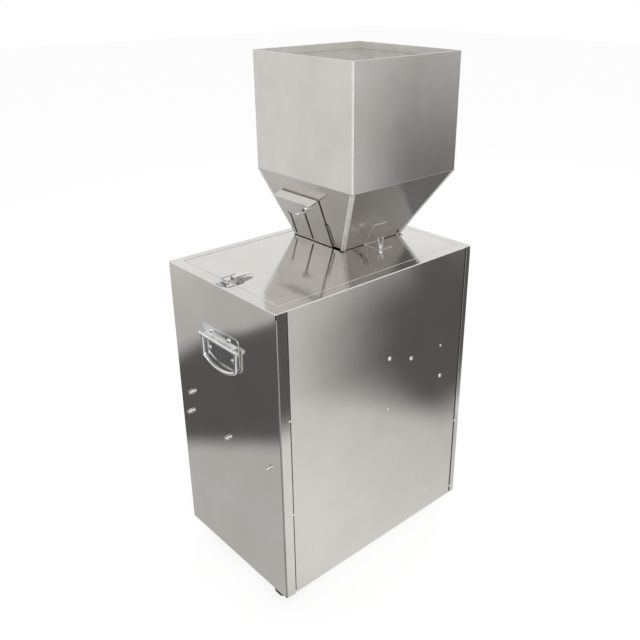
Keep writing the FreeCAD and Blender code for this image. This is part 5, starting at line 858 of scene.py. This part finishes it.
# Each part's node with the name of its dressed piece, its finish, the ease of its edges in mm and its slot.
SKIN = {
    "base_pan": ("floor_tray", cabinet_steel, 0.4, "sheet"),
    "right_end_panel": ("end_sheet_handle_side", cabinet_steel, 0.4, "sheet"),
    "left_end_panel": ("end_sheet_far_side", cabinet_steel, 0.4, "sheet"),
    "back_panel": ("back_sheet", cabinet_steel, 0.4, "sheet"),
    "front_panel": ("front_sheet", cabinet_steel, 0.4, "sheet"),
    "top_rim": ("top_rim_frame", lid_steel, 0.4, "sheet"),
    "lid": ("lid_plate", lid_steel, 0.5, "sheet"),
}
HOPPER = {
    "hopper_bin": ("hopper_upper_bin", hopper_steel, 0.4, "sheet"),
    "hopper_cone": ("hopper_lower_cone", hopper_steel, 0.4, "sheet"),
    "gate_guides": ("gate_guide_strips", hopper_steel, 0.3, "sheet"),
    "flow_gate": ("sliding_gate", hopper_steel, 0.4, "sheet"),
    "hopper_brackets": ("hopper_hold_down_brackets", hopper_steel, 0.4, "sheet"),
}
HARDWARE = {
    "gate_wing_nut": ("gate_wing_nut_cast", bright_chrome, 0.5, "chrome"),
    "hopper_screw_back": ("wing_screw_back", bright_chrome, 0.5, "chrome"),
    "hopper_screw_left": ("wing_screw_left", bright_chrome, 0.5, "chrome"),
    "latch_keeper": ("latch_keeper_plate", zinc_plate, 0.3, "chrome"),
    "latch_base": ("latch_base_plate", bright_chrome, 0.3, "chrome"),
    "latch_lever": ("latch_lever_pressed", bright_chrome, 0.3, "chrome"),
    "latch_bail": ("latch_wire_bail", bright_chrome, 0.0, "chrome"),
    "handle_plate_right": ("handle_plate_pressed_right", bright_chrome, 0.4, "chrome"),
    "handle_plate_left": ("handle_plate_pressed_left", bright_chrome, 0.4, "chrome"),
    "handle_bail_right": ("handle_grip_right", bright_chrome, 0.3, "chrome"),
    "handle_bail_left": ("handle_grip_left", bright_chrome, 0.3, "chrome"),
    "panel_bolts": ("panel_bolt_set", bright_chrome, 0.4, "chrome"),
    "caster_plates": ("caster_top_plates", zinc_plate, 0.4, "zinc"),
    **{"caster_fork_" + corner: ("caster_fork_pressed_" + corner, zinc_plate, 0.4, "zinc")
       for corner in ("back_right", "back_left", "front_right", "front_left")},
}
WORKS = {
    "feeder_bracket": ("feeder_shelf", zinc_plate, 0.6, "zinc"),
    "feeder_isolators": ("feeder_rubber_feet", mount_rubber, 0.5, "rubber"),
    "feeder_base": ("feeder_base_casting", grey_enamel, 1.0, "grey_paint"),
    "feeder_springs": ("feeder_leaf_springs", zinc_plate, 0.3, "zinc"),
    "feeder_magnet": ("feeder_drive_coil", enamelled_wire, 0.6, "copper_coil"),
    "feeder_trough": ("feeder_trough_folded", hidden_steel, 0.4, "sheet"),
    "weigh_rail": ("weigh_rail_angle", zinc_plate, 0.6, "zinc"),
    "load_cell": ("load_cell_bar", mill_aluminium, 0.5, "aluminium"),
    "weigh_arm": ("weigh_arm_bent", zinc_plate, 0.6, "zinc"),
    "weigh_bucket": ("weigh_bucket_folded", hidden_steel, 0.4, "sheet"),
    "weigh_flap": ("weigh_flap_plate", hidden_steel, 0.4, "sheet"),
    "flap_solenoid": ("flap_solenoid_frame", grey_enamel, 0.8, "grey_paint"),
    "solenoid_plunger": ("solenoid_plunger_rod", turned_steel, 0.4, "plunger_steel"),
    "discharge_chute": ("discharge_chute_inner", hidden_steel, 0.4, "sheet"),
    "discharge_spout": ("discharge_spout_hood", cabinet_steel, 0.0, "sheet"),
    "power_supply": ("power_supply_case", grey_enamel, 0.6, "grey_paint"),
    "power_inlet": ("power_inlet_moulded", black_moulding, 0.4, "black_plastic"),
}
CONTROLS = {
    "control_panel": ("control_plate", cabinet_steel, 0.4, "sheet"),
    "display_window": ("display_window_acrylic", smoked_window, 0.3, "window"),
    "power_rocker": ("power_rocker_moulded", red_moulding, 0.6, "red_plastic"),
    "control_board": ("control_circuit_board", circuit_resin, 0.2, "board"),
}


def dressed(context, group, own=None):
    """Makes a group's parts, their edges eased by the panel's factor, and gives their meshes by node. own holds
    the settings that single nodes add."""
    factor = context.scene.machine_sheet.edge
    own = own or {}
    return {node: softened(node, piece, slot, finish, edge * factor, **own.get(node, {})).data
            for node, (piece, finish, edge, slot) in group.items()}


class SheetSizes(bpy.types.PropertyGroup):
    edge: FloatProperty(name="Eased edge", description="Factor on the eased edges of the parts", default=1.0,
                        min=0.2, max=2.0)


class StudioSizes(bpy.types.PropertyGroup):
    floor_colour: StringProperty(name="Floor colour", description="Colour of the floor as sRGB hex",
                                 default="#F4F4F4")
    key_power: FloatProperty(name="Key lamp", description="Power of the large lamp over the camera",
                             default=38.0, unit="POWER")
    fill_power: FloatProperty(name="Fill lamp", description="Power of the large lamp opposite", default=22.0,
                              unit="POWER")


class MACHINE_OT_skin(bpy.types.Operator):
    """Dresses the cabinet's sheets, rim and lid"""
    bl_idname = "machine.skin"
    bl_label = "Cabinet sheets"

    def execute(self, context):
        ends = ("right_end_panel", "left_end_panel")
        # The eased edges of the rim, lid, back and front get a pale finish: a painted highlight.
        own = {node: {"folds": find(*box_mm(node)), "edge_finish": scuffed_fold}
               for node, find in (("top_rim", top_folds), ("lid", top_folds),
                                  ("back_panel", upright_folds), ("front_panel", upright_folds))}
        own["lid"]["reshape"] = cut_short
        own.update({node: {"reshape": sprung_flanges} for node in ends})
        made = dressed(context, SKIN, own)
        # The end sheets' rounded upright folds get a darker finish: painted shade.
        for mesh in (made[node] for node in ends):
            finished_apart(mesh, (dull_fold, on_upright_folds(face_places(mesh)[1])))
        corner_seams()
        return {"FINISHED"}


class MACHINE_OT_hopper(bpy.types.Operator):
    """Dresses the hopper, its gate, guides and brackets"""
    bl_idname = "machine.hopper"
    bl_label = "Hopper"

    def execute(self, context):
        # The eased edges of the bin and brackets get a pale finish: a painted highlight.
        painted_highlight_edges = {"edge_finish": scuffed_fold}
        made = dressed(context, HOPPER, {"hopper_bin": painted_highlight_edges, "hopper_brackets": painted_highlight_edges,
                                         "flow_gate": {"reshape": flared_grip}})
        for node in ("hopper_bin", "hopper_cone"):
            lined(made[node])
        for mesh in (made["gate_guides"], made["flow_gate"]):
            places, normals = face_places(mesh)
            # Side faces of the gate and guides, away from the grip, get a dark finish: painted shade.
            facing = normals[:, 0] * math.cos(GATE_LEAN) - normals[:, 2] * math.sin(GATE_LEAN)
            # The grip's upward faces get a pale finish: a painted highlight.
            on_grip = out_of_cone(places) >= GRIP_FACES
            finished_apart(mesh, (satin_steel, (normals[:, 2] > 0.5) & on_grip),
                           (cut_edge, (np.abs(facing) < 0.5) & ~on_grip))
        weld_seams()
        return {"FINISHED"}


class MACHINE_OT_hardware(bpy.types.Operator):
    """Dresses the fasteners, latch, lifting handles and casters"""
    bl_idname = "machine.hardware"
    bl_label = "Hardware"

    def execute(self, context):
        dressed(context, HARDWARE, {"latch_lever": {"reshape": lowered_tip}})
        wheels()
        rivet_heads()
        return {"FINISHED"}


class MACHINE_OT_works(bpy.types.Operator):
    """Dresses the feeder, the weighing unit, the spout and the power parts"""
    bl_idname = "machine.works"
    bl_label = "Feeder and weighing unit"

    def execute(self, context):
        dressed(context, WORKS)
        return {"FINISHED"}


class MACHINE_OT_controls(bpy.types.Operator):
    """Dresses the control plate, keys, knob, rocker, window and board"""
    bl_idname = "machine.controls"
    bl_label = "Controls"

    def execute(self, context):
        dressed(context, CONTROLS)
        plate_print()
        digits()
        key_caps()
        knob()
        return {"FINISHED"}


def smooth(value, low, high):
    """0 below low, 1 above high, and 3t^2 - 2t^3 between."""
    t = np.clip((value - low) / (high - low), 0, 1)
    return t * t * (3 - 2 * t)


def band(value, low, rise, fall, high):
    """Rises smoothly from 0 to 1 over low..rise and falls back over fall..high."""
    return smooth(value, low, rise) * (1 - smooth(value, fall, high))


# How bright the metal sees the painted dark reflection of each side, the painted wedge and the painted glare
# beyond the back's dark reflection.
END_PAINTED_REFLECTION = 0.132
BACK_PAINTED_REFLECTION = 0.135
CARD_PAINTED_REFLECTION = 0.12
PAINTED_GLARE = 1.6


def floor_tone(x, y):
    """The painted reflections that the metal sees in the floor, as a tone over x and y in metres: pale near the
    machine, a painted dark band across each of the two sides that the sheets face, pale again beyond, a narrow
    painted dark wedge that the near corner's flange faces, and a painted glare, each edge a smooth step."""
    # The end's painted dark band, whose far border bulges a little, and the painted floor beyond it.
    along, turn = (x - y) / math.sqrt(2), -y / np.maximum(x, 0.2)
    border = 1.07 + 0.05 * band(turn, 1.0, 1.12, 1.25, 1.5)
    width = 0.03 + 0.08 * smooth(turn, 1.05, 1.4)
    end_side = smooth(along, 0.68, 0.80) * (1 - smooth(-y - border, -width, width)) * smooth(x, 0.1, 0.4)
    end_far = 0.66 + 0.24 * smooth(-y, 1.3, 2.6)
    pale = 1.0 - 0.36 * smooth(along, -0.12, 0.2)
    pale = pale * (1 - smooth(-y, 0.6, 1.1)) + end_far * smooth(-y, 0.6, 1.1)
    # The back's painted dark band, softer where it runs out, with a painted bright strip before its crisp
    # border.
    edge = np.minimum(-0.58, -(y - 0.35))
    soft = 0.1 + 0.22 * smooth(y, 0.55, 1.1)
    lead = soft + 0.1 * smooth(y, 0.5, 0.9)
    back_side = smooth(edge - x, -lead, soft) * smooth(y, 0.38, 0.64)
    level = band(y, -0.4, -0.1, 0.35, 0.6)
    back_side = np.maximum(back_side, 0.93 * smooth(-x, 0.81, 0.87) * level)
    pale = pale + 0.4 * band(-x, 0.68, 0.72, 0.78, 0.82) * level
    bearing = -x / np.maximum(y, 0.3)
    lighter = 0.72 * smooth(1.08 - bearing, 0, 0.11) + 0.16 * smooth(bearing - 1.16, 0, 0.1)
    back_side = back_side * (1 - lighter * smooth(y, 1.15, 1.8))
    back_tone = BACK_PAINTED_REFLECTION + smooth(np.hypot(x, y), 3.0, 10.0) * 0.34
    pale = pale * (1 - 0.22 * smooth(-x, -0.1, 0.6) * smooth(y, 0, 0.3))
    # The painted dark reflection of a wedge seen from the corner.
    ahead = y - 0.192
    slant = (0.27 - x) / np.maximum(ahead, 0.05)
    painted_wedge = band(slant, 0.36, 0.44, 0.64, 0.70) * band(ahead, 0.57, 0.75, 1.9, 2.3)
    tone = pale
    for share, dark in ((end_side, END_PAINTED_REFLECTION), (back_side, back_tone), (painted_wedge, CARD_PAINTED_REFLECTION)):
        tone = tone * (1 - share) + dark * share
    # A bright spot beyond the back's band: a painted glare for the metal.
    return tone + PAINTED_GLARE * np.exp(-((x - 1.75) ** 2 + (y - 1.7) ** 2) / 0.16)


def floor_shader(tree, colour):
    """The pale matt floor, which glows for the camera, the metal and the window, so that it stays even."""
    matt = add(tree, "ShaderNodeBsdfDiffuse", {"Color": mixed(tree, noise(tree, 40.0), colour, "#F0F0F0")})
    glow = add(tree, "ShaderNodeEmission", {"Strength": 1.16})
    rays = add(tree, "ShaderNodeLightPath").outputs
    seen = rays["Is Camera Ray"]
    for ray in ("Is Glossy Ray", "Is Transmission Ray"):
        seen = add(tree, "ShaderNodeMath", {0: seen, 1: rays[ray]}, operation="MAXIMUM").outputs[0]
    share = add(tree, "ShaderNodeMath", {0: seen, 1: 0.72}, operation="MULTIPLY").outputs[0]
    return add(tree, "ShaderNodeMixShader", {0: share, 1: matt.outputs[0], 2: glow.outputs[0]})


def cloth_shader(tree):
    """A glowing surface as bright as its points' tone: painted reflections that only the metal sees."""
    tone = add(tree, "ShaderNodeAttribute", attribute_name="tone").outputs["Fac"]
    return add(tree, "ShaderNodeEmission", {"Strength": tone})


def lamp(name, place, target, size, power):
    """A soft square lamp that looks at a point."""
    data = bpy.data.lights.new(name, "AREA")
    data.shape = "SQUARE"
    data.size = size
    data.energy = power
    made = placed(name, data)
    made.location = place
    made.rotation_euler = (Vector(target) - Vector(place)).to_track_quat("-Z", "Y").to_euler()
    made.visible_glossy = False
    return made


class MACHINE_OT_studio(bpy.types.Operator):
    """Makes the pale floor, the level studio light and the camera"""
    bl_idname = "machine.studio"
    bl_label = "Studio"

    def execute(self, context):
        sizes = context.scene.machine_studio
        scene = context.scene
        scene.view_settings.view_transform = "Standard"

        floor_mesh = bpy.data.meshes.new("studio_floor")
        side = 14.0
        floor_mesh.from_pydata([(-side, -side, 0), (side, -side, 0), (side, side, 0), (-side, side, 0)], [],
                               [(0, 1, 2, 3)])
        floor_mesh.materials.append(made_once(
            "studio_floor_matt", lambda tree: floor_shader(tree, sizes.floor_colour)))
        floor = placed("studio_floor", floor_mesh)

        # A grid seen only by glossy rays, not by the camera, diffuse light or shadows: painted reflections and a
        # painted glare for the metal.
        steps = 340
        spread = np.linspace(-1, 1, steps)
        line = np.sign(spread) * (1.6 * np.abs(spread) + 10.4 * np.abs(spread) ** 4)
        x, y = np.meshgrid(line, line, indexing="ij")
        points = np.stack([x, y, np.full_like(x, 0.0004)], axis=-1).reshape(-1, 3)
        painted_reflection_mesh = bpy.data.meshes.new("studio_floor_painted_reflections")
        painted_reflection_mesh.from_pydata(points.tolist(), [], grid_faces(steps, steps, wrap=False))
        tone = painted_reflection_mesh.attributes.new("tone", "FLOAT", "POINT")
        tone.data.foreach_set("value", floor_tone(points[:, 0] - HOME[0], points[:, 1] - HOME[1]))
        painted_reflection_mesh.materials.append(made_once("studio_painted_reflection_tones", cloth_shader))
        painted_reflection_sheet = placed("studio_floor_painted_reflections", painted_reflection_mesh)
        for ray in ("visible_camera", "visible_diffuse", "visible_shadow", "visible_transmission",
                    "visible_volume_scatter"):
            setattr(painted_reflection_sheet, ray, False)

        world = bpy.data.worlds.new("studio_room")
        scene.world = world
        world.use_nodes = True
        tree = world.node_tree
        tree.nodes.clear()
        rays = add(tree, "ShaderNodeLightPath").outputs
        direction = add(tree, "ShaderNodeTexCoord").outputs["Generated"]
        height = add(tree, "ShaderNodeSeparateXYZ", {"Vector": direction}).outputs["Z"]
        # Only glossy rays see this room: its ramp by height and its patches, bright and dark, are painted
        # reflections and painted highlights, which light nothing else.
        level = ramp(tree, height, 0.5, 0.75, 1.0, 0.42)
        painted_reflection_panels = (((0, 0, 1), 0.85, 0.97, 0.4), ((-0.6, 0.7, 0.36), 0.7, 0.92, -0.34),
                  ((0.30, 0.72, 0.62), 0.955, 0.97, 2.2), ((0.90, -0.15, 0.42), 0.955, 0.97, 2.2))
        for towards, start, full, gain in painted_reflection_panels:
            facing = add(tree, "ShaderNodeVectorMath", {0: direction, 1: Vector(towards).normalized()},
                         operation="DOT_PRODUCT")
            glare = ramp(tree, facing.outputs["Value"], start, full, 0.0, gain)
            level = add(tree, "ShaderNodeMath", {0: level, 1: glare}, operation="ADD").outputs[0]
        light, room, page = (add(tree, "ShaderNodeBackground", {"Color": (1, 1, 1, 1), "Strength": strength})
                             for strength in (0.55, level, 1.0))
        sees = light
        for ray, view in (("Is Glossy Ray", room), ("Is Transmission Ray", page), ("Is Camera Ray", page)):
            sees = add(tree, "ShaderNodeMixShader", {0: rays[ray], 1: sees.outputs[0], 2: view.outputs[0]})
        add(tree, "ShaderNodeOutputWorld", {"Surface": sees.outputs[0]})

        middle = (0.0, 0.0, 0.6)
        lamp("key_lamp", (1.6, 2.6, 3.4), middle, 2.0, sizes.key_power)
        lamp("fill_lamp", (-2.8, -1.6, 3.0), middle, 2.4, sizes.fill_power)

        eye = bpy.data.cameras.new("photo_camera")
        eye.lens = 42.02
        eye.sensor_width = 36.0
        eye.shift_x = -0.0352
        eye.shift_y = -0.0234
        eye.clip_start = 0.05
        eye.clip_end = 60.0
        holder = placed("photo_camera", eye)
        forward = Vector((-0.6157, -0.6738, -0.4085)).normalized()
        holder.location = Vector((HOME[0] + 1.0442, HOME[1] + 1.2051, 1.3387))
        holder.rotation_euler = forward.to_track_quat("-Z", "Y").to_euler()
        scene.camera = holder
        return {"FINISHED"}


class MACHINE_PT_panel(bpy.types.Panel):
    """Lists the pieces of the filling machine"""
    bl_idname = "MACHINE_PT_panel"
    bl_label = "Filling machine"
    bl_space_type = "VIEW_3D"
    bl_region_type = "UI"
    bl_category = "Filling Machine"

    def draw(self, context):
        for operator in OPERATORS:
            self.layout.operator(operator.bl_idname)
        for group, kind in GROUPS:
            for name in kind.__annotations__:
                self.layout.prop(getattr(context.scene, group), name)


OPERATORS = (MACHINE_OT_skin, MACHINE_OT_hopper, MACHINE_OT_hardware, MACHINE_OT_works, MACHINE_OT_controls,
             MACHINE_OT_studio)
GROUPS = (("machine_sheet", SheetSizes), ("machine_studio", StudioSizes))


def register():
    for group, kind in GROUPS:
        bpy.utils.register_class(kind)
        setattr(bpy.types.Scene, group, PointerProperty(type=kind))
    for kind in OPERATORS + (MACHINE_PT_panel,):
        bpy.utils.register_class(kind)


def unregister():
    for kind in reversed(OPERATORS + (MACHINE_PT_panel,)):
        bpy.utils.unregister_class(kind)
    for group, kind in reversed(GROUPS):
        delattr(bpy.types.Scene, group)
        bpy.utils.unregister_class(kind)


def main():
    register()
    for operator in OPERATORS:
        group, name = operator.bl_idname.split(".")
        getattr(getattr(bpy.ops, group), name)()


if __name__ == "__main__":
    main()
